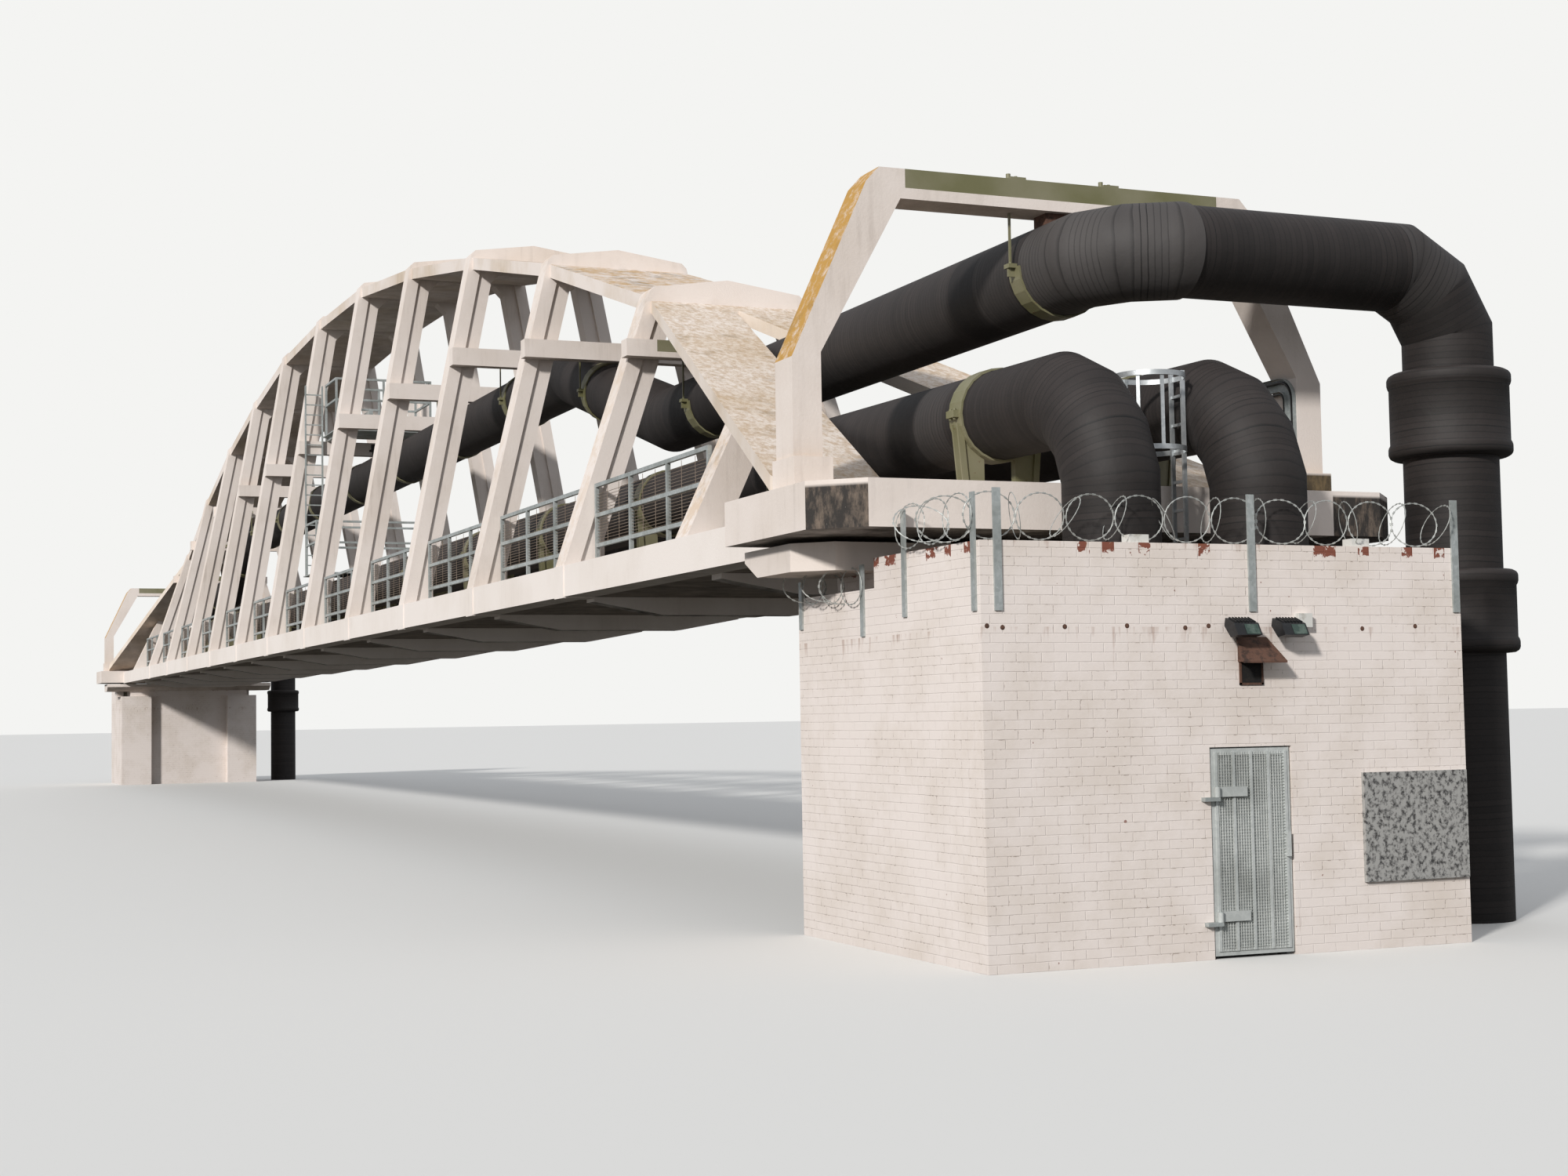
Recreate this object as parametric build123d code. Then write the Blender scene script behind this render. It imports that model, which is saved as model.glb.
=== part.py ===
"""Pipe bridge, bowstring type, precast concrete: a 1:2 scale model.

Units are model millimetres (the real bridge is twice this size).
+X runs along the bridge to the near end, +Y across it, +Z up, Z = 0 at the ground.
The bridge centre line lies at Y = BRIDGE_Y, so that the origin is the bottom
centre of the bounding box of the whole part.
"""
import math
import os

from build123d import *

os.makedirs("parts", exist_ok=True)

# Deck, frames and arch
BAY = 2250.0                      # spacing of the frames
LAST = 10                         # frames are numbered 0 (near) to 10 (far)
CHORD_HALF = 1130.0               # centre line to the outer face of an edge beam
CHORD_W = 200.0
CHORD_Z0 = 1775.0                 # soffit of the edge beams above the ground
CHORD_Z1 = CHORD_Z0 + 195.0
CHORD_IN = CHORD_HALF - CHORD_W   # centre line to the inner face of an edge beam
BAND = 8.0                        # how far a frame band stands off the edge beam
DECK_Z1 = CHORD_Z0 + 90.0
RIB_DROP = 112.0                  # depth of the soffit ribs at the centre line
RIB_FLAT = 0.5                    # share of their half width that is level underneath
RIB_SIDE = 30.0                   # their depth at the edge beams
TOP_HALF = 530.0                  # half width of the arch slab
RISE = (2000.0, 2665.0, 3165.0, 3515.0, 3755.0, 3805.0)   # frame corners over CHORD_Z0
RIB_W = 190.0                     # outer rib of a frame, along X
CORE_W = 150.0                    # recessed inner part of a frame
RIB_T = 100.0                     # thickness of the outer rib
LEG_T = 215.0                     # whole leg, across
GABLE = 70.0
HEAD_BEAM = 170.0                 # depth of the top beam of a frame
HAUNCH = 95.0
FOOT_H = 180.0                    # the leg's inner edge is upright up to here
SLAB_T = 100.0
SLAB_DROP = 45.0                  # slab top below the frame corners

# Headstock, pier and chamber
HEAD_X0, HEAD_X1 = 15110.0, 16250.0
HEAD_HALF = 1500.0
HEAD_Z0, HEAD_Z1 = CHORD_Z0 + 10.0, CHORD_Z0 + 215.0
HEAD_CHAMFER = 200.0
CAP_X0, CAP_X1, CAP_HALF = 15100.0, 15790.0, 1400.0
CAP_CHAMFER = 150.0
BEARING_T = 25.0
CAP_Z1 = HEAD_Z0 - BEARING_T
CAP_Z0 = CAP_Z1 - 125.0
PIER_X0, PIER_X1 = 15150.0, 15980.0
PIER_Z1 = 1545.0                  # top of the pier's outer blocks, below the cap
PIER_BLOCK = 500.0
PIER_RECESS = 150.0
NECK_X0, NECK_X1, NECK_HALF = 15250.0, 15780.0, 1000.0
SHELL_HALF = 1155.0               # half width of pier and chamber
SHELL_X1 = 16950.0                # outer face of the chamber
SHELL_Z1 = CHORD_Z0 - 100.0       # top of the chamber
WALL = 110.0
ROOF_T = 90.0
ROOF_DOWN = 20.0                  # the roof lies this far below the top of the walls
ROOF_Z1 = SHELL_Z1 - ROOF_DOWN
ROOF_Z0 = ROOF_Z1 - ROOF_T

# Sloping plates from frame 0 down to the headstock, and the short posts under them
PLATE_T = 80.0
PLATE_X1 = 15460.0
PLATE_ZA, PLATE_ZB = 3680.0, 2040.0
PLATE_OUT, PLATE_IN = 1350.0, 830.0
PLATE_KNEE = 15300.0              # the outer edge runs straight along X from here
PLATE_FORK = 160.0                # where the V between the plates starts
POST_LEAN = 0.4716
POST_W = 200.0

# Pipes
LOWER_R, UPPER_R = 205.0, 220.0
PAIR_Y = 365.0                    # lower pipes either side of the centre line
PAIR_Z = CHORD_Z0 + 620.0
PAIR_X = 16630.0                  # where the lower pipes drop
PAIR_FALL = 50.0                  # they fall by this from the short posts to the bend
PAIR_BEND = 470.0
PAIR_GORES = 4                    # mitre joints in one of their bends
HIGH_Z = 3720.0                   # upper pipe inside the arch
LOW_Z = 3070.0                    # upper pipe at the portals
DIP_X0, DIP_X1 = 8000.0, 10300.0
CROSS_R = 209.0                   # thinner wrapping on the cross run
WRAP_Y = 420.0                    # where it starts
BEND_R = 410.0
UPPER_GORES = 3
SHALLOW = 40.0                    # a turn under this many degrees is one mitre joint
RUN_X = 16150.0                   # the upper pipe's cross run
DROP_Y = 1800.0                   # its drop beside the chamber
SLEEVE_R = 285.0
SLEEVE_LIP = 9.0
SLEEVE_GRIP = 300.0
SLEEVES = ((2170.0, 2585.0), (1245.0, 1640.0))
BRIDGE_Y = -(DROP_Y + SLEEVE_R - HEAD_HALF) / 2

# Crossbeams: soffit, top and half length at frames 0, 1, 2 and so on to the middle
BEAMS = ((3300.0, 3410.0, 735.0), (3652.0, 3785.0, 760.0), (3947.0, 4092.0, 735.0),
         (3985.0, 4130.0, 768.0), (4005.0, 4150.0, 790.0), (4005.0, 4150.0, 790.0))
BEAM_W = 110.0
NOTCH_HALF, NOTCH_H = 531.0, 75.0  # seat of the steel channel on the end crossbeams

# Gallows on each headstock
GAL_X0, GAL_X1 = 15500.0, 15695.0
GAL_HALF, GAL_T = 1400.0, 140.0
PLINTH_H = 147.0
GAL_KINK, GAL_TOP, GAL_TOP_HALF = 2582.0, 3462.0, 1000.0
GAL_BEAM_Z0 = 3325.0
CHANNEL_HALF, CHANNEL_H = 830.0, 87.0
CHANNEL_T = 14.0

# Straps and hangers
SEAT = 0.3
RING_STEP = 15.0                  # straps are drawn as many short flats
STRAP_T = 10.0
LEG_GAP = 80.0                     # the cradle is open below the pipe by this to each side
SLING_W, STRAP_W = 100.0, 120.0
HEAD_SADDLE_X = 15650.0
HANG_BACK = 100.0                 # straps sit this far behind the middle of a frame
ROD = 10.0

# Platforms at mid-span, between frames 5 and 4
PLAT_X0, PLAT_X1 = 188.0, 925.0
PLAT_HALF = 530.0
BEARER_H = 40.0
PLAT_Z = BEAMS[5][1] + BEARER_H    # underside of the upper platform's floor
FLOOR_T = 12.0
RAIL_UP, RAIL_MID = 563.0, 335.0   # rail heights over a floor
RAIL = 22.0
LAND_Z = 2630.0                    # underside of the landing's floor
LAND_Y0, LAND_Y1 = -750.0, 620.0
LAND_LEG = 598.0                   # centre line to a leg of the landing
STAIR_X, STAIR_Y0, STAIR_Y1 = 230.0, -735.0, -535.0

# Caged ladder beside the near bends
CAGE_X, CAGE_Y, CAGE_R = 16365.0, 0.0, 157.0
CAGE_RAIL_Y = 145.0
HOOPS = (2450.0, 2130.0)
HOOP_H = 22.0
CAGE_TOP = 2480.0

# Chamber door and fittings
DOOR_Y0, DOOR_Y1, DOOR_H = -130.0, 265.0, 850.0
LEAF_X0, LEAF_X1 = SHELL_X1 - 32.0, SHELL_X1 - 6.0
HINGE_X, HINGE_Y = SHELL_X1 + 18.0, DOOR_Y0 + 20.0
HINGES = (150.0, 650.0)
BARREL_H, BARREL_R, PIN_R = 40.0, 12.0, 5.5


def box(x0, x1, y0, y1, z0, z1):
    """A block between two corners."""
    return Pos((x0 + x1) / 2, (y0 + y1) / 2, (z0 + z1) / 2) * Box(
        abs(x1 - x0), abs(y1 - y0), abs(z1 - z0))


def along_x(points, x0, x1):
    """A (Y, Z) outline drawn out from x0 to x1."""
    wire = Polyline(*[(x0, y, z) for y, z in points], close=True)
    return extrude(make_face(wire), amount=x1 - x0, dir=(1, 0, 0))


def along_y(points, y0, y1):
    """An (X, Z) outline drawn out from y0 to y1."""
    wire = Polyline(*[(x, y0, z) for x, z in points], close=True)
    return extrude(make_face(wire), amount=y1 - y0, dir=(0, 1, 0))


def along_z(points, z0, z1):
    """An (X, Y) outline drawn out from z0 to z1."""
    wire = Polyline(*[(x, y, z0) for x, y in points], close=True)
    return extrude(make_face(wire), amount=z1 - z0, dir=(0, 0, 1))


def fuse(shapes):
    """Join shapes that touch into one."""
    shapes = list(shapes)
    return shapes[0].fuse(*shapes[1:]) if len(shapes) > 1 else shapes[0]


def group(shapes):
    """Shapes that stay apart, in one node."""
    return Compound([solid for shape in shapes for solid in shape.solids()])


def far(shape):
    """The same piece at the far end."""
    return mirror(shape, about=Plane.YZ)


def other_side(shape):
    """The same piece on the +Y side."""
    return mirror(shape, about=Plane.XZ)


def both_ends(shape):
    return group([shape, far(shape)])


def frame_x(n):
    return (LAST / 2 - n) * BAY


def from_end(n):
    """Frames counted from the nearer end of the bridge."""
    return max(0, min(n, LAST - n))


def beam_side(n):
    """Crossbeams lie on the +X face of a frame, and on the -X face at the far portal."""
    return 1 if n < LAST - 2 else -1


def beam_span(n):
    """Extent of a crossbeam along X."""
    side = beam_side(n)
    near, away = frame_x(n) + side * RIB_W / 2, frame_x(n) + side * (RIB_W / 2 + BEAM_W)
    return min(near, away), max(near, away)


def rise(n):
    return CHORD_Z0 + RISE[from_end(n)]


def leg_y(n, z):
    """Outer face of a leg, distance from the centre line at height z."""
    return CHORD_HALF - (CHORD_HALF - TOP_HALF) * (z - CHORD_Z1) / (rise(n) - CHORD_Z1)


def ring(n, thick, top, foot, haunch, gable):
    """Half outlines mirrored into the closed outline of a frame ring."""
    h = rise(n)
    out = [(leg_y(n, CHORD_Z1), CHORD_Z1), (TOP_HALF + 12, h - 36), (TOP_HALF - 25, h), (0, h + gable)]
    sof = h - top
    knee = sof - haunch
    inn = [(leg_y(n, CHORD_Z1 + foot) - thick, CHORD_Z1)]
    if foot:
        inn.append((leg_y(n, CHORD_Z1 + foot) - thick, CHORD_Z1 + foot))
    inn.append((leg_y(n, knee) - thick, knee))
    inn.append((leg_y(n, knee) - thick - haunch, sof))
    left_out = [(-y, z) for y, z in out]
    right_out = [(y, z) for y, z in reversed(out[:-1])]
    left_in = [(-y, z) for y, z in reversed(inn)]
    return left_out + right_out + inn + left_in


def ring_frame(n):
    """One precast frame: a proud outer rib with a recessed core behind it."""
    x = frame_x(n)
    core = along_x(ring(n, LEG_T, HEAD_BEAM, FOOT_H, HAUNCH, GABLE - 20), x - CORE_W / 2, x + CORE_W / 2)
    rib = along_x(ring(n, RIB_T, RIB_T, 0, 30, GABLE), x - RIB_W / 2, x + RIB_W / 2)
    return core + rib


def arch_slab():
    """Folded slab, one panel between each two frames."""
    panels = []
    for n in range(LAST):
        xa, xb = frame_x(n) - RIB_W / 2, frame_x(n + 1) + RIB_W / 2
        za, zb = rise(n) - SLAB_DROP, rise(n + 1) - SLAB_DROP
        ta = za + (zb - za) * (RIB_W / 2) / BAY
        tb = zb + (za - zb) * (RIB_W / 2) / BAY
        panels.append(along_y([(xa, ta), (xb, tb), (xb, tb - SLAB_T), (xa, ta - SLAB_T)],
                              -TOP_HALF, TOP_HALF))
    return group(panels)


PLATE_X0 = frame_x(0) + RIB_W / 2
PLATE_SLOPE = (PLATE_ZA - PLATE_ZB) / (PLATE_X1 - PLATE_X0)


def plate_z(x):
    """Top of the sloping plates at x."""
    return PLATE_ZA - PLATE_SLOPE * (x - PLATE_X0)


def portal_legs():
    """Two sloping plates that part in a V and come down on the headstock."""
    x_foot = PLATE_X0 + (PLATE_ZA - PLATE_T - HEAD_Z1) / PLATE_SLOPE
    side = [(PLATE_X0, PLATE_ZA), (PLATE_X1, PLATE_ZB), (PLATE_X1, HEAD_Z1), (x_foot, HEAD_Z1),
            (PLATE_X0, PLATE_ZA - PLATE_T)]
    band = along_y(side, -HEAD_HALF, HEAD_HALF)
    half = [(PLATE_X0, TOP_HALF), (PLATE_KNEE, PLATE_OUT), (PLATE_X1, PLATE_OUT), (PLATE_X1, PLATE_IN),
            (PLATE_X0 + PLATE_FORK, 12)]
    plan = [(x, -y) for x, y in half] + [(x, y) for x, y in reversed(half)]
    return band & along_z(plan, HEAD_Z1 - 10, PLATE_ZA + 10)


def short_posts():
    """Single posts under the sloping plates, one bay out from frame 0."""
    x = frame_x(-1)
    xa, xb = x - RIB_W / 2, x + RIB_W / 2
    za, zb = plate_z(xa) - PLATE_T, plate_z(xb) - PLATE_T
    under = along_y([(xa, CHORD_Z1), (xb, CHORD_Z1), (xb, zb), (xa, za)], -HEAD_HALF, 0)
    lean = POST_LEAN * (za - CHORD_Z1)
    foot_y = -CHORD_HALF + POST_LEAN * FOOT_H + POST_W
    post = along_x([(-CHORD_HALF, CHORD_Z1), (-CHORD_HALF + lean, za), (-CHORD_HALF + lean + POST_W, za),
                    (foot_y, CHORD_Z1 + FOOT_H), (foot_y, CHORD_Z1)], xa, xb)
    one = under & post
    return group([one, other_side(one)])


def edge_beam():
    """Edge beam on the -Y side with the bands of the frames on its face."""
    parts = [box(-HEAD_X0, HEAD_X0, -CHORD_HALF, -CHORD_IN, CHORD_Z0, CHORD_Z1)]
    for n in range(LAST + 1):
        x = frame_x(n)
        parts.append(box(x - RIB_W / 2, x + RIB_W / 2, -CHORD_HALF - BAND, -CHORD_IN,
                         CHORD_Z0 - BAND, CHORD_Z1))
    return fuse(parts)


def deck():
    return box(-HEAD_X0, HEAD_X0, -CHORD_IN, CHORD_IN, CHORD_Z0, DECK_Z1)


def soffit_ribs():
    """Fish-bellied ribs under the deck, at every frame and short post."""
    half = [(CHORD_IN, CHORD_Z0), (CHORD_IN, CHORD_Z0 - RIB_SIDE), (CHORD_IN * RIB_FLAT, CHORD_Z0 - RIB_DROP)]
    outline = [(-y, z) for y, z in half] + [(y, z) for y, z in reversed(half)]
    return group(along_x(outline, frame_x(n) - CORE_W / 2, frame_x(n) + CORE_W / 2)
                 for n in range(-1, LAST + 2))


def crossbeams():
    """Mid-level beams against a face of each frame; the end ones carry a steel channel."""
    out = []
    for n in range(LAST + 1):
        x0, x1 = beam_span(n)
        z0, z1, y = BEAMS[from_end(n)]
        beam = box(x0, x1, -y, y, z0, z1)
        if from_end(n) == 0:
            beam -= box(x0 - 1, x1 + 1, -NOTCH_HALF, NOTCH_HALF, z1 - NOTCH_H, z1 + 1)
        out.append(beam)
    return group(out)


def headstock():
    """Upper pier beam with chamfered outer corners."""
    c = HEAD_CHAMFER
    half = [(HEAD_X0, HEAD_HALF), (HEAD_X1 - c, HEAD_HALF), (HEAD_X1, HEAD_HALF - c)]
    plan = [(x, -y) for x, y in half] + [(x, y) for x, y in reversed(half)]
    return along_z(plan, HEAD_Z0, HEAD_Z1)


def pier_cap():
    """Lower pier beam, chamfered in plan and cut back underneath at its outer ends."""
    c = CAP_CHAMFER
    half = [(CAP_X0, CAP_HALF), (CAP_X1 - c, CAP_HALF), (CAP_X1, CAP_HALF - c)]
    plan = [(x, -y) for x, y in half] + [(x, y) for x, y in reversed(half)]
    side = [(CAP_X0, CAP_Z1), (CAP_X1, CAP_Z1), (CAP_X1, CAP_Z0), (CAP_X0 + c, CAP_Z0),
            (CAP_X0, CAP_Z0 + c / 2)]
    return along_z(plan, CAP_Z0, CAP_Z1) & along_y(side, -CAP_HALF, CAP_HALF)


def bearings():
    """Rubber pads between pier cap and headstock."""
    mid, half = (CAP_X0 + CAP_X1) / 2, 120.0
    pads = group(box(mid - half, mid + half, y - half, y + half, CAP_Z1, HEAD_Z0)
                 for y in (-1020, -340, 340, 1020))
    return both_ends(pads)


def pier():
    """Two end blocks with a recessed wall between them, and a neck up to the cap."""
    inner = SHELL_HALF - PIER_BLOCK
    return fuse([box(PIER_X0, PIER_X1, -SHELL_HALF, -inner, 0, PIER_Z1),
                 box(PIER_X0, PIER_X1, inner, SHELL_HALF, 0, PIER_Z1),
                 box(PIER_X0 + PIER_RECESS, PIER_X1, -inner, inner, 0, PIER_Z1),
                 box(NECK_X0, NECK_X1, -NECK_HALF, NECK_HALF, PIER_Z1, CAP_Z0)])


def side_walls():
    """Brick walls along both sides of each chamber; the pier closes the inner end."""
    wall = box(PIER_X1, SHELL_X1 - WALL, -SHELL_HALF, -SHELL_HALF + WALL, 0, SHELL_Z1)
    return both_ends(group([wall, other_side(wall)]))


def end_walls():
    """End walls: in two pieces beside the near doorway, whole at the far end."""
    x0, x1 = SHELL_X1 - WALL, SHELL_X1
    return group([box(x0, x1, -SHELL_HALF, DOOR_Y0, 0, SHELL_Z1), box(x0, x1, DOOR_Y1, SHELL_HALF, 0, SHELL_Z1),
                  box(-x1, -x0, -SHELL_HALF, SHELL_HALF, 0, SHELL_Z1)])


def lintel():
    """The wall over the near doorway."""
    return box(SHELL_X1 - WALL, SHELL_X1, DOOR_Y0, DOOR_Y1, DOOR_H, SHELL_Z1)


def chamber_roof():
    """Roof slab set in between the walls, with two holes for the pipes."""
    inside = SHELL_HALF - WALL
    roof = box(PIER_X1, SHELL_X1 - WALL, -inside, inside, ROOF_Z0, ROOF_Z1)
    for y in (-PAIR_Y, PAIR_Y):
        roof -= Pos(PAIR_X, y, ROOF_Z0) * Cylinder(LOWER_R + SEAT, 3 * ROOF_T)
    return roof


def gallows():
    """Portal frame on the headstock that carries the upper pipe's end."""
    z0 = HEAD_Z1 + PLINTH_H
    out = [(-GAL_HALF, z0), (-GAL_HALF, GAL_KINK), (-GAL_TOP_HALF - 25, GAL_TOP - 70),
           (-GAL_TOP_HALF + 40, GAL_TOP), (-CHANNEL_HALF, GAL_TOP), (-CHANNEL_HALF, GAL_TOP - CHANNEL_H)]
    inn = [(-GAL_TOP_HALF + 145, GAL_BEAM_Z0), (-GAL_HALF + GAL_T, GAL_KINK + 25), (-GAL_HALF + GAL_T, z0)]
    points = out + [(-y, z) for y, z in reversed(out)] + [(-y, z) for y, z in reversed(inn)] + inn
    body = along_x(points, GAL_X0, GAL_X1)
    feet = [box(GAL_X0 - 12, GAL_X1 + 45, s * (GAL_HALF + 15), s * (GAL_HALF - GAL_T - 30), HEAD_Z1, z0)
            for s in (-1, 1)]
    return fuse([body] + feet)


def channel(x0, x1, half, z1, height):
    """Steel channel, toes up, let into the top of a beam."""
    y = half - SEAT
    outer = box(x0, x1, -y, y, z1 - height, z1)
    return outer - box(x0 + CHANNEL_T, x1 - CHANNEL_T, -y - 1, y + 1, z1 - height + CHANNEL_T, z1 + 1)


def steel_channels():
    """The channels on both gallows and on the two end crossbeams."""
    on_gallows = channel(GAL_X0, GAL_X1, CHANNEL_HALF, GAL_TOP, CHANNEL_H)
    out = [on_gallows, far(on_gallows)]
    for n in (0, LAST):
        out.append(channel(*beam_span(n), NOTCH_HALF, BEAMS[0][1], NOTCH_H))
    return group(out)


def mitre_joints(points, bend, count):
    """Route of a pipe whose right angles are made up of mitred gores."""
    pts = [Vector(*p) for p in points]
    route = [pts[0]]
    for a, b, c in zip(pts, pts[1:], pts[2:]):
        u, v = (b - a).normalized(), (c - b).normalized()
        turn = math.radians(u.get_angle(v))
        if turn < math.radians(SHALLOW):
            route.append(b)
            continue
        step = turn / count
        here = b - u * bend * (math.tan(turn / 2) - math.tan(step / 2))
        side = u.cross(v).normalized()
        across = side.cross(u)
        for i in range(1, count + 1):
            route.append(here)
            line = u * math.cos(i * step) + across * math.sin(i * step)
            here = here + line * 2 * bend * math.tan(step / 2)
    return route + [pts[-1]]


def mitred_pipe(route, radius):
    """A round pipe of straight runs that meet in mitre joints."""
    start = Plane(origin=route[0], z_dir=(route[1] - route[0]).normalized())
    return sweep(start * Circle(radius), path=Polyline(*route), transition=Transition.RIGHT)


def upper_pipe():
    """The upper main; the cross run and its bend are wrapped thinner, from WRAP_Y to the upper sleeve."""
    wrap_end = (RUN_X, WRAP_Y, LOW_Z)
    in_sleeve = (RUN_X, DROP_Y, SLEEVES[0][0] + SLEEVE_GRIP)
    middle = [wrap_end, (RUN_X, 0, LOW_Z), (DIP_X1, 0, LOW_Z), (DIP_X0, 0, HIGH_Z)]
    middle += [(-x, y, z) for x, y, z in reversed(middle)]
    cross = [in_sleeve, (RUN_X, DROP_Y, LOW_Z), wrap_end]
    drop = Pos(RUN_X, DROP_Y, in_sleeve[2] / 2) * Cylinder(UPPER_R, in_sleeve[2])
    thin = mitred_pipe(mitre_joints(cross, BEND_R, UPPER_GORES), CROSS_R)
    return fuse([mitred_pipe(mitre_joints(middle, BEND_R, UPPER_GORES), UPPER_R), thin, far(thin), drop, far(drop)])


def upper_z(x):
    """Centre line of the upper pipe between the gallows, with its slope in degrees."""
    if abs(x) < DIP_X0:
        return HIGH_Z, 0.0
    if abs(x) > DIP_X1:
        return LOW_Z, 0.0
    fall = (HIGH_Z - LOW_Z) / (DIP_X1 - DIP_X0)
    tilt = math.degrees(math.atan(fall))
    return HIGH_Z - fall * (abs(x) - DIP_X0), tilt if x > 0 else -tilt


def pair_z(x):
    """Centre line of the lower pipes: level on the bridge, with a slight fall past the short posts."""
    start = frame_x(-1)
    return PAIR_Z - PAIR_FALL * max(0.0, abs(x) - start) / (PAIR_X - start)


def pair_tilt(x):
    """Slope of the lower pipes in degrees, for a strap that turns about Y."""
    start = frame_x(-1)
    if abs(x) < start:
        return 0.0
    return math.copysign(math.degrees(math.atan(PAIR_FALL / (PAIR_X - start))), x)


def lower_pipe(y):
    half = [(PAIR_X, y, 0), (PAIR_X, y, pair_z(PAIR_X)), (frame_x(-1), y, PAIR_Z)]
    route = half + [(-x, y, z) for x, y, z in reversed(half)]
    return mitred_pipe(mitre_joints(route, PAIR_BEND, PAIR_GORES), LOWER_R)


def collar(z0, z1):
    """Coupling sleeve with a thicker ring at each end."""
    r, waist = UPPER_R + SEAT, SLEEVE_R - SLEEVE_LIP
    outline = [(r, z0), (waist, z0 + 12), (SLEEVE_R, z0 + 26), (SLEEVE_R, z0 + 58), (waist, z0 + 76),
               (waist, z1 - 76), (SLEEVE_R, z1 - 58), (SLEEVE_R, z1 - 26), (waist, z1 - 12), (r, z1)]
    wire = Polyline(*[(x, 0, z) for x, z in outline], close=True)
    return Pos(RUN_X, DROP_Y, 0) * revolve(make_face(wire), axis=Axis.Z)


def sleeves():
    return both_ends(group([collar(z0, z1) for z0, z1 in SLEEVES]))


def air_valve():
    """Valve on top of the upper pipe, below the platform."""
    x = PLAT_X0 + 260
    stem = Pos(x, 0, HIGH_Z + UPPER_R + 20) * Cylinder(32, 130)
    stem -= Pos(x, 0, HIGH_Z) * Rot(0, 90, 0) * Cylinder(UPPER_R + SEAT, 200)
    flange = Pos(x, 0, HIGH_Z + UPPER_R + 92) * Cylinder(64, 16)
    bonnet = Pos(x, 0, HIGH_Z + UPPER_R + 130) * Cylinder(44, 60)
    return fuse([stem, flange, bonnet])


def arc_points(radius, a0, a1):
    """Points on a circle in the YZ plane, angles in degrees from +Y."""
    steps = round((a1 - a0) / RING_STEP)
    angles = [math.radians(a0 + (a1 - a0) * i / steps) for i in range(steps + 1)]
    return [(radius * math.cos(a), radius * math.sin(a)) for a in angles]


def strap_in(radius):
    """Inner corner radius of a strap of flats that just clears a pipe."""
    return (radius + SEAT) / math.cos(math.radians(RING_STEP / 2))


def sling(radius, width):
    """Lower half of a flat ring round the X axis."""
    inner = strap_in(radius)
    points = arc_points(inner + STRAP_T, -180, 0) + arc_points(inner, -180, 0)[::-1]
    return along_x(points, -width / 2, width / 2)


def full_strap(radius, width):
    """A whole flat ring round the X axis."""
    inner = strap_in(radius)
    outer = along_x(arc_points(inner + STRAP_T, 0, 360)[:-1], -width / 2, width / 2)
    return outer - along_x(arc_points(inner, 0, 360)[:-1], -width, width)


def hung_strap(x, z, tilt, whole, rod_z1):
    """A strap round the upper pipe with a lug and a rod on each side."""
    band = full_strap(UPPER_R, SLING_W) if whole else sling(UPPER_R, SLING_W)
    parts = [Pos(x, 0, z) * Rot(0, tilt, 0) * band]
    inner = strap_in(UPPER_R)
    rod_y = inner + 26
    for s in (-1, 1):
        parts.append(box(x - 24, x + 24, s * (inner + 2), s * (inner + 46), z - 6, z + 14))
        parts.append(box(x - 5, x + 5, s * (inner + 2), s * (inner + 40), z - 45, z))
        parts.append(box(x - ROD / 2, x + ROD / 2, s * rod_y - ROD / 2, s * rod_y + ROD / 2, z, rod_z1))
    return fuse(parts)


def hangers():
    """Straps round the upper pipe, hung from angles behind the crossbeams."""
    out = []
    y = strap_in(UPPER_R) + 26
    for n in range(LAST + 1):
        side = beam_side(n)
        x = frame_x(n) - side * HANG_BACK
        z, tilt = upper_z(x)
        z_angle = BEAMS[from_end(n)][0] + 40
        parts = [hung_strap(x, z, tilt, from_end(n) > 0, z_angle + 50)]
        for s in (-1, 1):
            parts.append(box(x - side * 20, frame_x(n) + side * RIB_W / 2, s * y - 18, s * y + 18,
                             z_angle, z_angle + 35))
        out.append(fuse(parts))
    return group(out)


def gallows_hangers():
    """Sling at each gallows, its rods, and the bolted plates on the channel above."""
    x, y = (GAL_X0 + GAL_X1) / 2, strap_in(UPPER_R) + 26
    out = [hung_strap(x, LOW_Z, 0, False, GAL_BEAM_Z0)]
    for s in (-1, 1):
        plate = box(GAL_X0, GAL_X1, s * y - 40, s * y + 40, GAL_TOP, GAL_TOP + 10)
        out.append(fuse([plate, Pos(x, s * y, GAL_TOP + 28) * Cylinder(11, 38)]))
    return both_ends(group(out))


def packers():
    """Blocks between the upper pipe and the gallows beams."""
    x0, x1 = GAL_X0 + 40, GAL_X1 - 40
    block = box(x0, x1, -85, 85, LOW_Z + UPPER_R - 20, GAL_BEAM_Z0)
    block -= Pos(x0, 0, LOW_Z) * Rot(0, 90, 0) * Cylinder(UPPER_R + SEAT, 4 * (x1 - x0))
    return both_ends(block)


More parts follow.
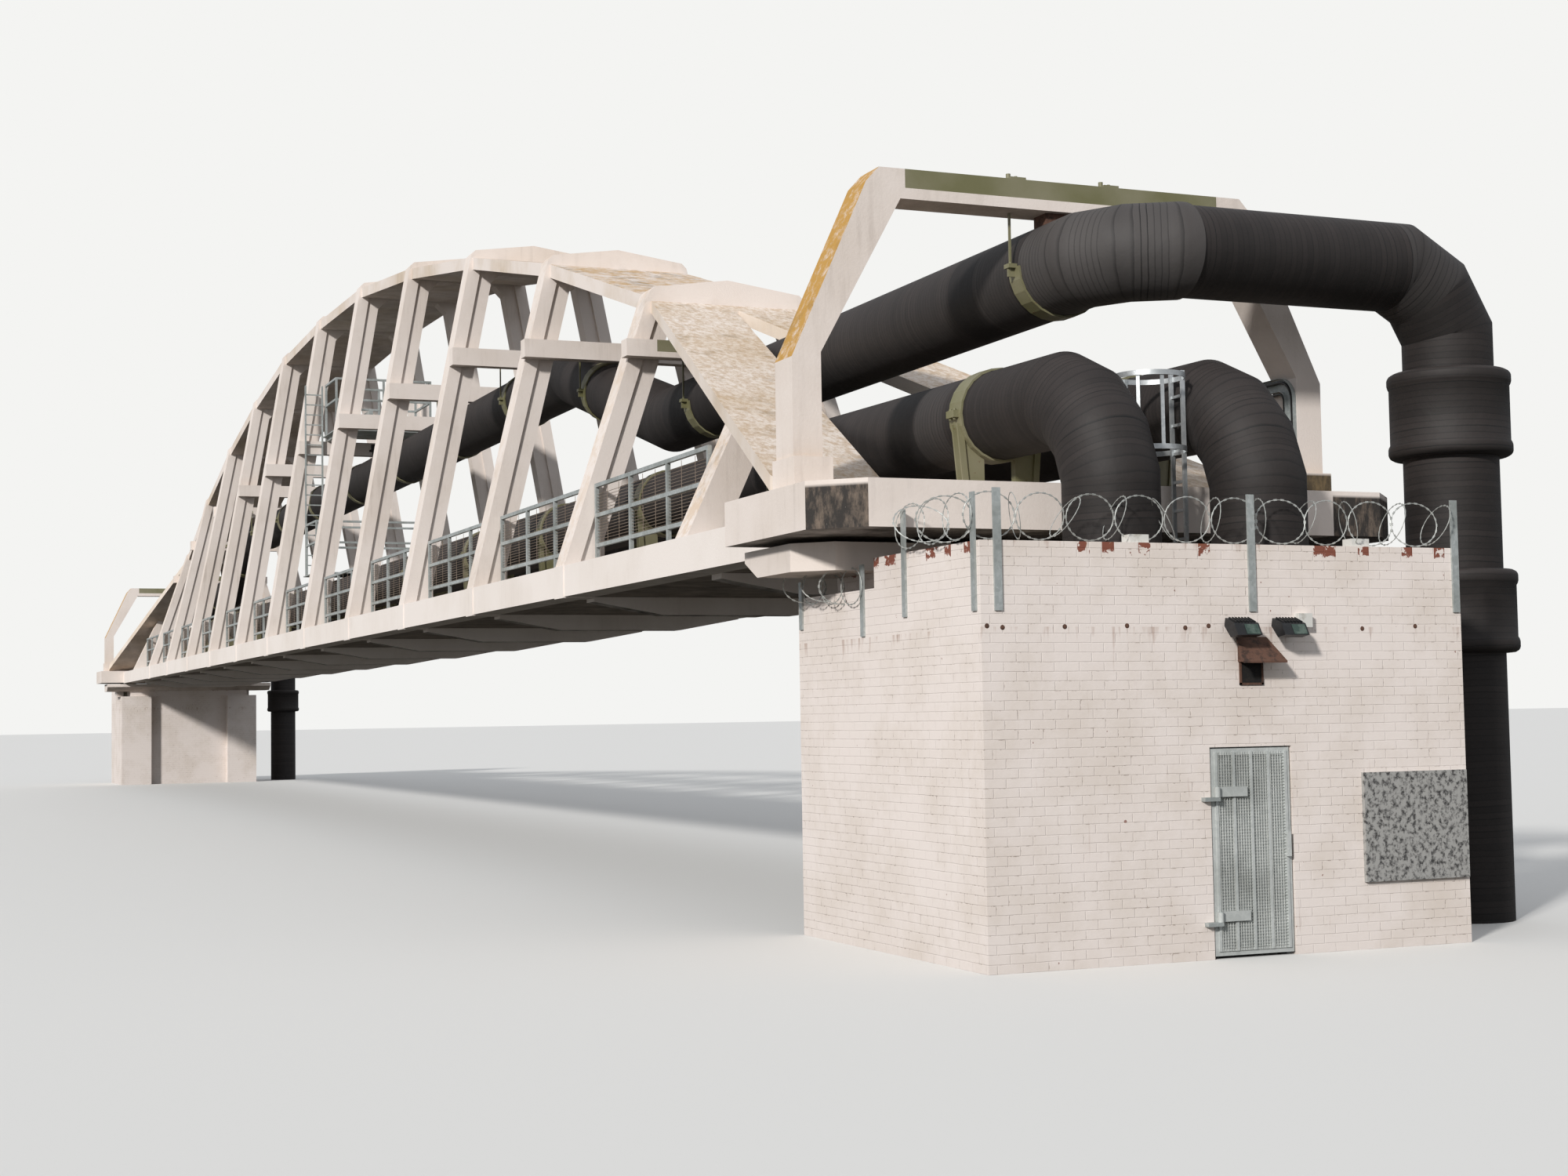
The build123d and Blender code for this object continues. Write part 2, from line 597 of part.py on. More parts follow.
def saddle(x, y, floor):
    """Cradle under a lower pipe with a strap over it."""
    z = pair_z(x)
    band = Pos(x, y, z) * Rot(0, pair_tilt(x), 0) * full_strap(LOWER_R, STRAP_W)
    half_foot, half_arm = 165.0, 196.0
    web = along_x([(-half_foot, floor + 12), (-half_arm, z - 95), (-half_arm, z - 45), (half_arm, z - 45),
                   (half_arm, z - 95), (half_foot, floor + 12)], x - 20, x + 20)
    web = Pos(0, y, 0) * web
    web -= Pos(x, y, z) * Rot(0, 90, 0) * Cylinder(strap_in(LOWER_R) + STRAP_T / 2, 200)
    web -= box(x - 30, x + 30, y - LEG_GAP, y + LEG_GAP, floor, z)
    lugs = [box(x - 38, x + 38, y + s * (LOWER_R + 5), y + s * (LOWER_R + 36), z - 16, z + 16) for s in (-1, 1)]
    foot = box(x - 75, x + 75, y - half_foot - 15, y + half_foot + 15, floor, floor + 12)
    return fuse([band, web, foot] + lugs)


def saddles():
    """Two rows of cradles on the deck, one behind each frame, and one on each headstock."""
    out = []
    for y in (-PAIR_Y, PAIR_Y):
        for n in range(-1, LAST + 2):
            out.append(saddle(frame_x(n) - HANG_BACK, y, DECK_Z1))
        for s in (-1, 1):
            out.append(saddle(s * HEAD_SADDLE_X, y, HEAD_Z1))
    return group(out)


def railing():
    """Railing panels between the frame legs, fixed to the -Y edge beam's inner face."""
    out = []
    bar, gap = 24.0, 15.0
    rails = (2083.0, 2273.0, 2463.0)
    y0 = -CHORD_IN + SEAT
    y1 = y0 + bar
    for n in range(-1, LAST + 1):
        xa = frame_x(n) - RIB_W / 2 - gap
        xb = frame_x(n + 1) + RIB_W / 2 + gap
        parts = [box(xb, xa, y0, y1, z, z + bar) for z in rails]
        for i in range(4):
            x = xb + (xa - xb - bar) * i / 3
            parts.append(box(x, x + bar, y0, y1, DECK_Z1 + 20, rails[-1] + bar))
        out.append(fuse(parts))
    return group(out)


def upper_platform():
    """Floor on two bearers that lie on the crossbeams of frames 5 and 4."""
    z = BEAMS[5][1]
    x1 = frame_x(4) + RIB_W / 2 + BEAM_W
    parts = [box(frame_x(5) + RIB_W / 2, x1, s * 445, s * 485, z, PLAT_Z) for s in (-1, 1)]
    parts.append(box(PLAT_X0, PLAT_X1, -PLAT_HALF, PLAT_HALF, PLAT_Z, PLAT_Z + FLOOR_T))
    return fuse(parts)


def landing():
    """Floor over the lower pipes, on four legs."""
    floor = box(PLAT_X0, PLAT_X1, LAND_Y0, LAND_Y1, LAND_Z, LAND_Z + FLOOR_T)
    legs = [box(x - 14, x + 14, s * LAND_LEG - 14, s * LAND_LEG + 14, DECK_Z1, LAND_Z)
            for x in (PLAT_X0 + 30, PLAT_X1 - 30) for s in (-1, 1)]
    return fuse([floor] + legs)


def guard(z, y0, y1, gap_x):
    """Posts with two rails round a platform, left open beside the ladder."""
    x0, x1 = PLAT_X0 + RAIL / 2 + 2, PLAT_X1 - RAIL / 2 - 2
    ya, yb = y0 + RAIL / 2 + 2, y1 - RAIL / 2 - 2
    h = RAIL / 2

    def post(x, y):
        return box(x - h, x + h, y - h, y + h, z, z + RAIL_UP)

    parts = [post(x0, yb), post(x1, yb), post(x1, ya), post(gap_x, ya), post(x1, (ya + yb) / 2)]
    parts += [post(x0, ya + 230), post(x0, (ya + yb) / 2 + 100)]
    for top in (RAIL_MID, RAIL_UP):
        lo, hi = z + top - RAIL, z + top
        parts.append(box(x0 - h, x1 + h, yb - h, yb + h, lo, hi))
        parts.append(box(x1 - h, x1 + h, ya - h, yb + h, lo, hi))
        parts.append(box(x0 - h, x0 + h, ya + 230, yb + h, lo, hi))
        parts.append(box(gap_x - h, x1 + h, ya - h, ya + h, lo, hi))
    return fuse(parts)


def platform_rails():
    return group([guard(PLAT_Z + FLOOR_T, -PLAT_HALF, PLAT_HALF, PLAT_X0 + 140),
                  guard(LAND_Z + FLOOR_T, LAND_Y0, LAND_Y1, PLAT_X0 + 140)])


def platform_ladder():
    """Ladder from the landing to the upper platform."""
    z0, z1 = LAND_Z + FLOOR_T, PLAT_Z + FLOOR_T + RAIL_UP
    parts = [box(STAIR_X - 15, STAIR_X + 15, y, y + 16, z0, z1) for y in (STAIR_Y0, STAIR_Y1 - 16)]
    rungs = int((z1 - z0) // 112)
    parts += [box(STAIR_X - 6, STAIR_X + 6, STAIR_Y0, STAIR_Y1, z0 + 112 * i, z0 + 112 * i + 12)
              for i in range(1, rungs + 1)]
    return fuse(parts + [box(STAIR_X - 15, STAIR_X + 15, STAIR_Y1 - 16, -PLAT_HALF - SEAT, PLAT_Z, PLAT_Z + FLOOR_T)])


def caged_ladder():
    """Ladder between the near bends, with two hoops and upright bars round it."""
    half, y = 45.0, CAGE_RAIL_Y
    parts = [box(CAGE_X + s * half - 6, CAGE_X + s * half + 6, y - 12, y + 6, ROOF_Z1, CAGE_TOP) for s in (-1, 1)]
    rungs = int((CAGE_TOP - SHELL_Z1) // 125)
    parts += [box(CAGE_X - half, CAGE_X + half, y - 6, y + 6, SHELL_Z1 + 125 * i - 60, SHELL_Z1 + 125 * i - 48)
              for i in range(1, rungs + 1)]
    for z in HOOPS:
        hoop = Pos(CAGE_X, CAGE_Y, z) * Cylinder(CAGE_R, HOOP_H)
        parts.append(hoop - Pos(CAGE_X, CAGE_Y, z) * Cylinder(CAGE_R - 6, 2 * HOOP_H))
    for angle in (190, 230, 270, 310, 350):
        bar = Rot(0, 0, angle) * Pos(CAGE_R - 9, 0, sum(HOOPS) / 2) * Box(6, 16, HOOPS[0] - HOOPS[1] + HOOP_H)
        parts.append(Pos(CAGE_X, CAGE_Y, 0) * bar)
    return fuse(parts)


def floodlights():
    """Two lamp heads on short arms over the doorway."""
    out = []
    x = SHELL_X1
    for y in (-58, 170):
        head = along_y([(x + 30, 1372), (x + 92, 1348), (x + 118, 1300), (x + 66, 1292), (x + 22, 1340)], y, y + 118)
        arm = box(x, x + 40, y + 48, y + 70, 1334, 1356)
        out.append(fuse([head, arm]))
    return group(out)


def junction_boxes():
    """A small box on the wall and two on the roof's edge."""
    x = SHELL_X1
    return group([box(x, x + 34, 300, 366, 1335, 1392)] +
                 [box(x - 75, x - 12, y, y + 88, SHELL_Z1, SHELL_Z1 + 34) for y in (-470, 610)])


def vent_hood():
    """Bent sheet that shelters a small vent over the door."""
    x = SHELL_X1
    sheet = along_y([(x, 1296), (x + 94, 1196), (x + 94, 1188), (x, 1284)], -30, 200)
    cheeks = [along_y([(x, 1290), (x + 88, 1194), (x, 1194)], y, y + 5) for y in (18, 149)]
    plan = along_z([(x, 12), (x + 94, -20), (x + 94, 193), (x, 160)], 1180, 1300)
    return fuse([sheet & plan] + cheeks)


def grille_panel():
    return box(SHELL_X1, SHELL_X1 + 18, 611, SHELL_HALF - 12, 278, 731)


def wall_brackets():
    """Upright flats on the near chamber that carry the coil of wire."""
    w, t = 17.0, 9.0
    x, y = SHELL_X1, SHELL_HALF
    out = [box(x, x + t, c - w, c + w, 1400, 1880) for c in (-1080, 95, 1130)]
    out += [box(c - w, c + w, -y - t, -y, z0, z1) for c, z0, z1 in
            ((16905, 1400, 1866), (16285, 1406, 1855), (15866, 1342, 1654), (15190, 1400, 1620))]
    return group(out)


def door():
    """Steel door leaf of the near chamber with its two hinge barrels and a pull."""
    y0, y1 = DOOR_Y0 + 6, DOOR_Y1 - 9
    leaf = box(LEAF_X0, LEAF_X1, y0, y1, 12, DOOR_H - 6)
    leaf -= box(LEAF_X1 - 6, LEAF_X1 + 1, y0 + 32, y1 - 32, 44, DOOR_H - 38)
    parts = [leaf]
    for z in HINGES:
        parts.append(Pos(HINGE_X, HINGE_Y, z + BARREL_H / 2) * Cylinder(BARREL_R, BARREL_H))
        parts.append(box(LEAF_X1 - 6, HINGE_X - 8, HINGE_Y - 4, HINGE_Y + 150, z, z + BARREL_H))
    parts.append(box(LEAF_X1, LEAF_X1 + 22, y1 - 30, y1 - 14, 400, 412))
    parts.append(box(LEAF_X1, LEAF_X1 + 22, y1 - 30, y1 - 14, 488, 500))
    parts.append(box(LEAF_X1 + 14, LEAF_X1 + 22, y1 - 30, y1 - 14, 400, 500))
    solid = fuse(parts)
    for z in HINGES:
        solid -= Pos(HINGE_X, HINGE_Y, z + BARREL_H / 2) * Cylinder(PIN_R + SEAT, BARREL_H + 2)
    return solid


def door_frame():
    """Stop behind the leaf on three sides, and the lugs and pins of the hinges."""
    x0, x1, w = SHELL_X1 - 62.0, SHELL_X1 - 40.0, 22.0
    stop = fuse([box(x0, x1, DOOR_Y0, DOOR_Y0 + w, 0, DOOR_H), box(x0, x1, DOOR_Y1 - w, DOOR_Y1, 0, DOOR_H),
                 box(x0, x1, DOOR_Y0, DOOR_Y1, DOOR_H - w, DOOR_H)])
    out = [stop]
    for z in HINGES:
        lug = box(SHELL_X1, HINGE_X + 10, DOOR_Y0 - 45, HINGE_Y + 8, z - 16, z - SEAT)
        pin = Pos(HINGE_X, HINGE_Y, z + 18) * Cylinder(PIN_R, 60)
        out.append(fuse([lug, pin]))
    return group(out)


NODES = {
    "arch_slab": arch_slab,
    "portal_legs_near": portal_legs,
    "portal_legs_far": lambda: far(portal_legs()),
    "short_posts_near": short_posts,
    "short_posts_far": lambda: far(short_posts()),
    "edge_beam_south": edge_beam,
    "edge_beam_north": lambda: other_side(edge_beam()),
    "deck": deck,
    "soffit_ribs": soffit_ribs,
    "crossbeams": crossbeams,
    "headstock_near": headstock,
    "headstock_far": lambda: far(headstock()),
    "pier_cap_near": pier_cap,
    "pier_cap_far": lambda: far(pier_cap()),
    "bearings": bearings,
    "pier_near": pier,
    "pier_far": lambda: far(pier()),
    "chamber_side_walls": side_walls,
    "chamber_end_walls": end_walls,
    "chamber_lintel": lintel,
    "chamber_roof_near": chamber_roof,
    "chamber_roof_far": lambda: far(chamber_roof()),
    "gallows_near": gallows,
    "gallows_far": lambda: far(gallows()),
    "steel_channels": steel_channels,
    "upper_pipe": upper_pipe,
    "lower_pipe_south": lambda: lower_pipe(-PAIR_Y),
    "lower_pipe_north": lambda: lower_pipe(PAIR_Y),
    "sleeves": sleeves,
    "air_valve": air_valve,
    "pipe_hangers": hangers,
    "gallows_hangers": gallows_hangers,
    "packers": packers,
    "pipe_saddles": saddles,
    "railing_south": railing,
    "railing_north": lambda: other_side(railing()),
    "upper_platform": upper_platform,
    "landing": landing,
    "platform_rails": platform_rails,
    "platform_ladder": platform_ladder,
    "caged_ladder": caged_ladder,
    "floodlights": floodlights,
    "junction_boxes": junction_boxes,
    "vent_hood": vent_hood,
    "grille_panel": grille_panel,
    "wall_brackets": wall_brackets,
    "door_near": door,
    "door_frame": door_frame,
    "frame_5": lambda: ring_frame(LAST // 2),
}
for _n in range(LAST // 2):
    NODES[f"frames_{_n}_{LAST - _n}"] = lambda n=_n: group([ring_frame(n), ring_frame(LAST - n)])

for name, make in NODES.items():
    placed = [Pos(0, BRIDGE_Y, 0) * solid for solid in make().solids()]
    export_step(placed[0] if len(placed) == 1 else Compound(placed), f"parts/{name}.step")
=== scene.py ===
"""Half-size concrete bowstring pipe bridge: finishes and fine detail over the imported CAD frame."""
import logging
import math
from collections.abc import Sequence
from dataclasses import dataclass
from enum import Enum

import bmesh
import bpy
from mathutils import Matrix, Vector


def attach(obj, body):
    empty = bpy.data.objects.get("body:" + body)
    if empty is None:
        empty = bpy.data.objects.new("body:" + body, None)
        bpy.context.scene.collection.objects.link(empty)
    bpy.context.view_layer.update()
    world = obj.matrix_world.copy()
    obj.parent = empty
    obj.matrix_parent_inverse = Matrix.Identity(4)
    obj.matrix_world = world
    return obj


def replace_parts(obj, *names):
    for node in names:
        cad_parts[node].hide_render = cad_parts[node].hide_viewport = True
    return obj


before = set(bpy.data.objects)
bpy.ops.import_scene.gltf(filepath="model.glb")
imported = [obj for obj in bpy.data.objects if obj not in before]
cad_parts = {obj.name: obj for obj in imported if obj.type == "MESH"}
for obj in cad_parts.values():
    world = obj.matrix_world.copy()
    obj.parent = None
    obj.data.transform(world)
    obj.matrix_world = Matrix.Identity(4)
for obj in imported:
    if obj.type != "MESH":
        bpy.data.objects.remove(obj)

log = logging.getLogger("pipe_bridge")
Point = tuple[float, float, float]
Socket = bpy.types.NodeSocket
Sockets = bpy.types.bpy_prop_collection

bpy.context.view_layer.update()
MM = 0.001

# sizes and places of the CAD frame that several pieces share, in millimetres
BRIDGE_Y = -292.5                   # the bridge's centre line lies this far off the origin
BAY = 2250.0                        # spacing of the ring frames
FRAMES = 11
SHELL_HALF = 1155.0                 # half width of a valve chamber
SHELL_X = 16950.0                   # outer face of the near chamber
COURSE = 37.5                       # a brick course
PLUG_Z = 1335.0                     # row of wall plugs in the near chamber
ROOF_Z = 1676.0                     # underside of its roof's edge
PAIR_Y = 365.0                      # the lower mains lie this far either side of the centre line
PAIR_R = 205.0
PAIR_X = 16630.0                    # where they drop into the chambers
PAIR_Z = 2395.0                     # middle of the lower mains over the bays
PAIR_END_Z = 2345.0                 # and at their last bend
UPPER_R = 220.0
UPPER_Z = 3720.0                    # middle of the upper main at mid-span
UPPER_END_Z = 3070.0                # and past its slopes
SLOPE_X = (8000.0, 10300.0)         # its slopes run between these
DROP_X = 16150.0                    # its drops
DROP_Y = 1800.0

SHALLOW_TURN = math.radians(40)     # a pipe takes a turn under this in one mitre joint
MIX_FACTOR, MIX_A, MIX_B, MIX_OUT = 0, 6, 7, 2      # sockets of a Mix node that mixes colours
UP = Vector((0.0, 0.0, 1.0))


class Body(Enum):
    """The CAD bodies that pieces ride on."""

    STRUCTURE = "structure"
    DOOR = "door"


class Slot(Enum):
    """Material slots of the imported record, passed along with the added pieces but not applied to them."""

    OLIVE = "olive_paint"
    WRAP = "black_wrap"
    GALVANISED = "galvanised"
    BLACK_PLASTIC = "black_plastic"
    WHITE_PLASTIC = "white_plastic"
    RUST = "rust"


class End(Enum):
    """The two ends of the bridge, as the sign of X."""

    NEAR = 1.0
    FAR = -1.0


def at(x: float, y: float, z: float) -> Vector:
    """A point in millimetres along, across (from the bridge's centre line) and above ground, in metres."""
    return Vector((x * MM, (y + BRIDGE_Y) * MM, z * MM))


def frame_x(number: int) -> float:
    """X of a ring frame's middle in millimetres; frame 0 is the near one."""
    return (5 - number) * BAY


def linear(hex_colour: str) -> tuple[float, float, float, float]:
    """Turn an sRGB hex colour into Blender's linear colour.

    Args:
        hex_colour: Colour such as "#E6DDD7".

    Returns:
        Linear red, green, blue and an alpha of one.
    """
    values = [int(hex_colour[i:i + 2], 16) / 255 for i in (1, 3, 5)]
    red, green, blue = [v / 12.92 if v <= 0.04045 else ((v + 0.055) / 1.055) ** 2.4 for v in values]
    return red, green, blue, 1.0


def per_metre(size: float) -> float:
    """How many grains of a size in millimetres a pattern has in a metre."""
    return 1.0 / (size * MM)


class Tree:
    """A node tree that is being filled in."""

    FAMILY = "ShaderNode"

    def __init__(self, nodes: bpy.types.NodeTree) -> None:
        """Take a tree as it is."""
        self.tree = nodes

    def add(self, kind: str, inputs: dict | None = None, output: int | str = 0,
            **settings: object) -> Socket | None:
        """Add one node with its settings and links.

        Args:
            kind: Blender's name of the node type, which needs no prefix where it is of the tree's own family.
            inputs: What goes into each input, by its name or number: an output socket, a list of them for an
                input that joins several, or a plain value.
            output: Name or number of the output that the caller goes on with.
            settings: Properties of the node itself.

        Returns:
            That output, whose `node` is the new node, or None from a node that has no outputs.
        """
        node = self.tree.nodes.new(kind if "Node" in kind else self.FAMILY + kind)
        for key, value in settings.items():
            setattr(node, key, value)
        for key, value in (inputs or {}).items():
            for source in value if isinstance(value, list) else [value]:
                if isinstance(source, Socket):
                    self.tree.links.new(source, node.inputs[key])
                else:
                    node.inputs[key].default_value = source
        return node.outputs[output] if node.outputs else None


def show(name: str, data: bpy.types.ID) -> bpy.types.Object:
    """Put a mesh, lamp or camera in the scene as an object at the origin."""
    made = bpy.data.objects.new(name, data)
    bpy.context.scene.collection.objects.link(made)
    return made


class Coats(Tree):
    """The coats of colour in one material, laid over each other from the ground colour up."""

    def __init__(self, material: bpy.types.Material, ground: str) -> None:
        """Start with the ground colour alone.

        Args:
            material: Material that gets the nodes.
            ground: Colour that the others are laid on.
        """
        material.use_nodes = True
        super().__init__(material.node_tree)
        self.tree.nodes.clear()
        surface = self.add("BsdfPrincipled")
        self.shader = surface.node
        self.add("OutputMaterial", {"Surface": surface})
        self.place = self.add("TexCoord", output="Object")
        self.colour = linear(ground)

    def normal(self) -> Sockets:
        """The X, Y and Z of the direction in which a face looks, as output sockets."""
        direction = self.add("NewGeometry", output="Normal")
        return self.add("SeparateXYZ", {"Vector": direction}).node.outputs

    def grain(self, size: float | Point, detail: float, roughness: float = 0.5) -> Socket:
        """Noise with grains of a real size.

        Args:
            size: Size of a grain in millimetres, one for all axes or one for each.
            detail: Octaves of finer grains.
            roughness: How much the finer octaves count.

        Returns:
            Socket with the noise, from nought to one.
        """
        sizes = size if isinstance(size, tuple) else (size, size, size)
        scale = tuple(per_metre(v) for v in sizes)
        place = self.add("Mapping", {"Vector": self.place, "Scale": scale})
        return self.add("TexNoise", {"Vector": place, "Scale": 1.0, "Detail": detail, "Roughness": roughness})

    def cut(self, share: Socket, masks: Sequence[Socket]) -> Socket:
        """Keep a share only where all the masks have something."""
        for mask in masks:
            share = self.add("Math", {0: share, 1: mask}, operation="MULTIPLY")
        return share

    def lay(self, tint: str | Socket, pattern: Socket, low: float = 0.0, high: float = 1.0,
            least: float = 0.0, most: float = 1.0, masks: Sequence[Socket] = ()) -> Socket:
        """Lay a colour over the coats below where a pattern rises from low to high.

        Args:
            tint: The colour.
            pattern: Socket that decides how much of it there is.
            low: The pattern's value where it is thinnest.
            high: The pattern's value where it is fullest.
            least: Its share of the colour where it is thinnest.
            most: Its share of the colour where it is fullest.
            masks: Sockets that cut it further.

        Returns:
            Socket with the new coat's share.
        """
        share = self.add("MapRange", {"Value": pattern, "From Min": low, "From Max": high,
                                      "To Min": least, "To Max": most})
        share = self.cut(share, masks)
        colour = linear(tint) if isinstance(tint, str) else tint
        self.colour = self.add("Mix", {MIX_FACTOR: share, MIX_A: self.colour, MIX_B: colour}, MIX_OUT,
                               data_type="RGBA")
        return share

    def dull(self, pattern: Socket, smooth: float, rough: float) -> None:
        """Let the roughness run from smooth to rough with a pattern from nought to one."""
        value = self.add("MapRange", {"Value": pattern, "To Min": smooth, "To Max": rough})
        self.tree.links.new(value, self.shader.inputs["Roughness"])

    def relief(self, height: Socket, depth: float, strength: float) -> None:
        """Feed a height to the shader as bump.

        Args:
            height: Socket with the height.
            depth: Depth in millimetres at a height of one.
            strength: Blender's bump strength.
        """
        bump = self.add("Bump", {"Height": height, "Strength": strength, "Distance": depth * MM})
        self.tree.links.new(bump, self.shader.inputs["Normal"])


@dataclass(frozen=True)
class Finish:
    """What all finishes share: a name, a ground colour, and coats that a subclass lays on it."""

    name: str
    ground: str = "#808080"

    def make(self) -> bpy.types.Material:
        """Build the material the first time, and find it by its name after that.

        Returns:
            The material.
        """
        material = bpy.data.materials.get(self.name)
        if material is None:
            material = bpy.data.materials.new(self.name)
            coats = Coats(material, self.ground)
            self.lay(coats)
            coats.tree.links.new(coats.colour, coats.shader.inputs["Base Color"])
        return material

    def lay(self, coats: Coats) -> None:
        """Lay the finish's coats; each subclass has its own."""
        raise NotImplementedError


@dataclass(frozen=True)
class MasonryPaint(Finish):
    """Masonry paint rolled on precast concrete: chalky and matt, dusty patches, rain streaks, lichen on top.

    Sizes of patterns are in millimetres, and a cover is the largest share of the colour that a coat takes.
    """

    ground: str = "#E6DCD5"
    tired: str = "#CDBFB2"          # chalked paint with settled dust
    grime_and_soffit_shade: str = "#7E7063"          # rain-washed soot and silt, and painted shade on faces that look down
    lichen: str = "#B98B34"         # orange-yellow crust that grows on faces turned to the sky
    moss: str = "#5B5140"           # dark spots in the lichen
    lichen_cover: float = 0.0
    moss_cover: float = 0.0
    streaks: float = 0.3
    # how dark faces that look down get: silt, and painted shade
    soffit_dirt_and_shade: float = 0.6
    tired_cover: float = 0.5
    chalk: float = 909.1            # patches of chalked paint
    streak: Point = (41.667, 41.667, 500.0)
    silt: float = 222.22            # patches of silt and cobwebs on soffits, and of moss
    crust: float = 140.0            # the lichen's patches
    grit: float = 14.286            # roller texture and blow holes
    level: float = 0.5              # noise above this is full of lichen
    moss_level: float = 0.58
    drawn: float = 1.0              # how much longer the lichen's patches are along X
    bare_top: float = 0.0           # paint has gone from the upright corners up to this height
    bare_side: float = 1038.0       # and from all that lies further across than this
    bare: str = "#302C29"
    bare_pale: str = "#857567"
    soot: Point = (38.462, 38.462, 111.11)

    def lay(self, coats: Coats) -> None:
        """Lay dust, streaks, soffit dirt with painted shade, lichen and algae over each other."""
        facing = coats.normal()["Z"]
        chalk = coats.grain(self.chalk, 6.0, 0.62)
        silt = coats.grain(self.silt, 7.0, 0.7)
        coats.lay(self.tired, chalk, low=0.42, high=0.68, most=self.tired_cover)
        # rain marks upright faces where the paint is chalked
        tilt = coats.add("Math", {0: facing}, operation="ABSOLUTE")
        upright = coats.add("MapRange", {"Value": tilt, "From Min": 0.75, "From Max": 0.25})
        patchy = coats.add("MapRange", {"Value": chalk, "From Min": 0.45, "From Max": 0.7})
        coats.lay(self.grime_and_soffit_shade, coats.grain(self.streak, 5.0, 0.6), low=0.5, high=0.8, most=self.streaks,
                  masks=(upright, patchy))
        # soffits never get washed; their darkening is also painted shade on faces that look down
        patch = coats.add("MapRange", {"Value": silt, "From Min": 0.35, "From Max": 0.65, "To Min": 0.45})
        coats.lay(self.grime_and_soffit_shade, facing, low=-0.35, high=-0.9, most=self.soffit_dirt_and_shade, masks=(patch,))
        skyward = coats.add("MapRange", {"Value": facing, "From Min": 0.15, "From Max": 0.42})
        crust = coats.grain((self.crust * self.drawn, self.crust, self.crust), 10.0, 0.78)
        for tint, pattern, level, cover in ((self.lichen, crust, self.level, self.lichen_cover),
                                            (self.moss, silt, self.moss_level, self.moss_cover)):
            if cover > 0:
                coats.lay(tint, pattern, level - 0.12 * cover, level + 0.08, most=cover, masks=(skyward,))
        if self.bare_top > 0:
            self.strip_corners(coats)
        coats.dull(silt, 0.72, 0.95)
        grit = coats.grain(self.grit, 5.0, 0.7)
        coats.relief(grit, depth=3.0, strength=0.45)

    def strip_corners(self, coats: Coats) -> None:
        """Strip the paint from the chamfered corners and the wet side's end, down to stained concrete."""
        normal = coats.normal()
        spot = coats.add("SeparateXYZ", {"Vector": coats.place}).node.outputs
        # only a chamfer looks along both X and Y
        slant = coats.add("Math", {0: normal["X"], 1: normal["Y"]}, operation="MULTIPLY")
        slant = coats.add("Math", {0: slant}, operation="ABSOLUTE")
        corner = coats.add("Math", {0: slant, 1: 0.3}, operation="GREATER_THAN")
        wet_end = coats.add("Math", {0: spot["Y"], 1: (self.bare_side + BRIDGE_Y) * MM},
                            operation="GREATER_THAN")
        gone = coats.add("Math", {0: corner, 1: wet_end}, operation="MAXIMUM")
        below = coats.add("MapRange", {"Value": spot["Z"], "From Min": self.bare_top * MM,
                                       "From Max": (self.bare_top - 14.0) * MM})
        soot = coats.grain(self.soot, 9.0, 0.72)
        ragged = coats.add("MapRange", {"Value": soot, "From Min": 0.27, "From Max": 0.33})
        streak = coats.add("MapRange", {"Value": soot, "From Min": 0.46, "From Max": 0.74})
        stone = coats.add("Mix", {MIX_FACTOR: streak, MIX_A: linear(self.bare),
                                  MIX_B: linear(self.bare_pale)}, MIX_OUT, data_type="RGBA")
        coats.lay(stone, gone, masks=(below, ragged))


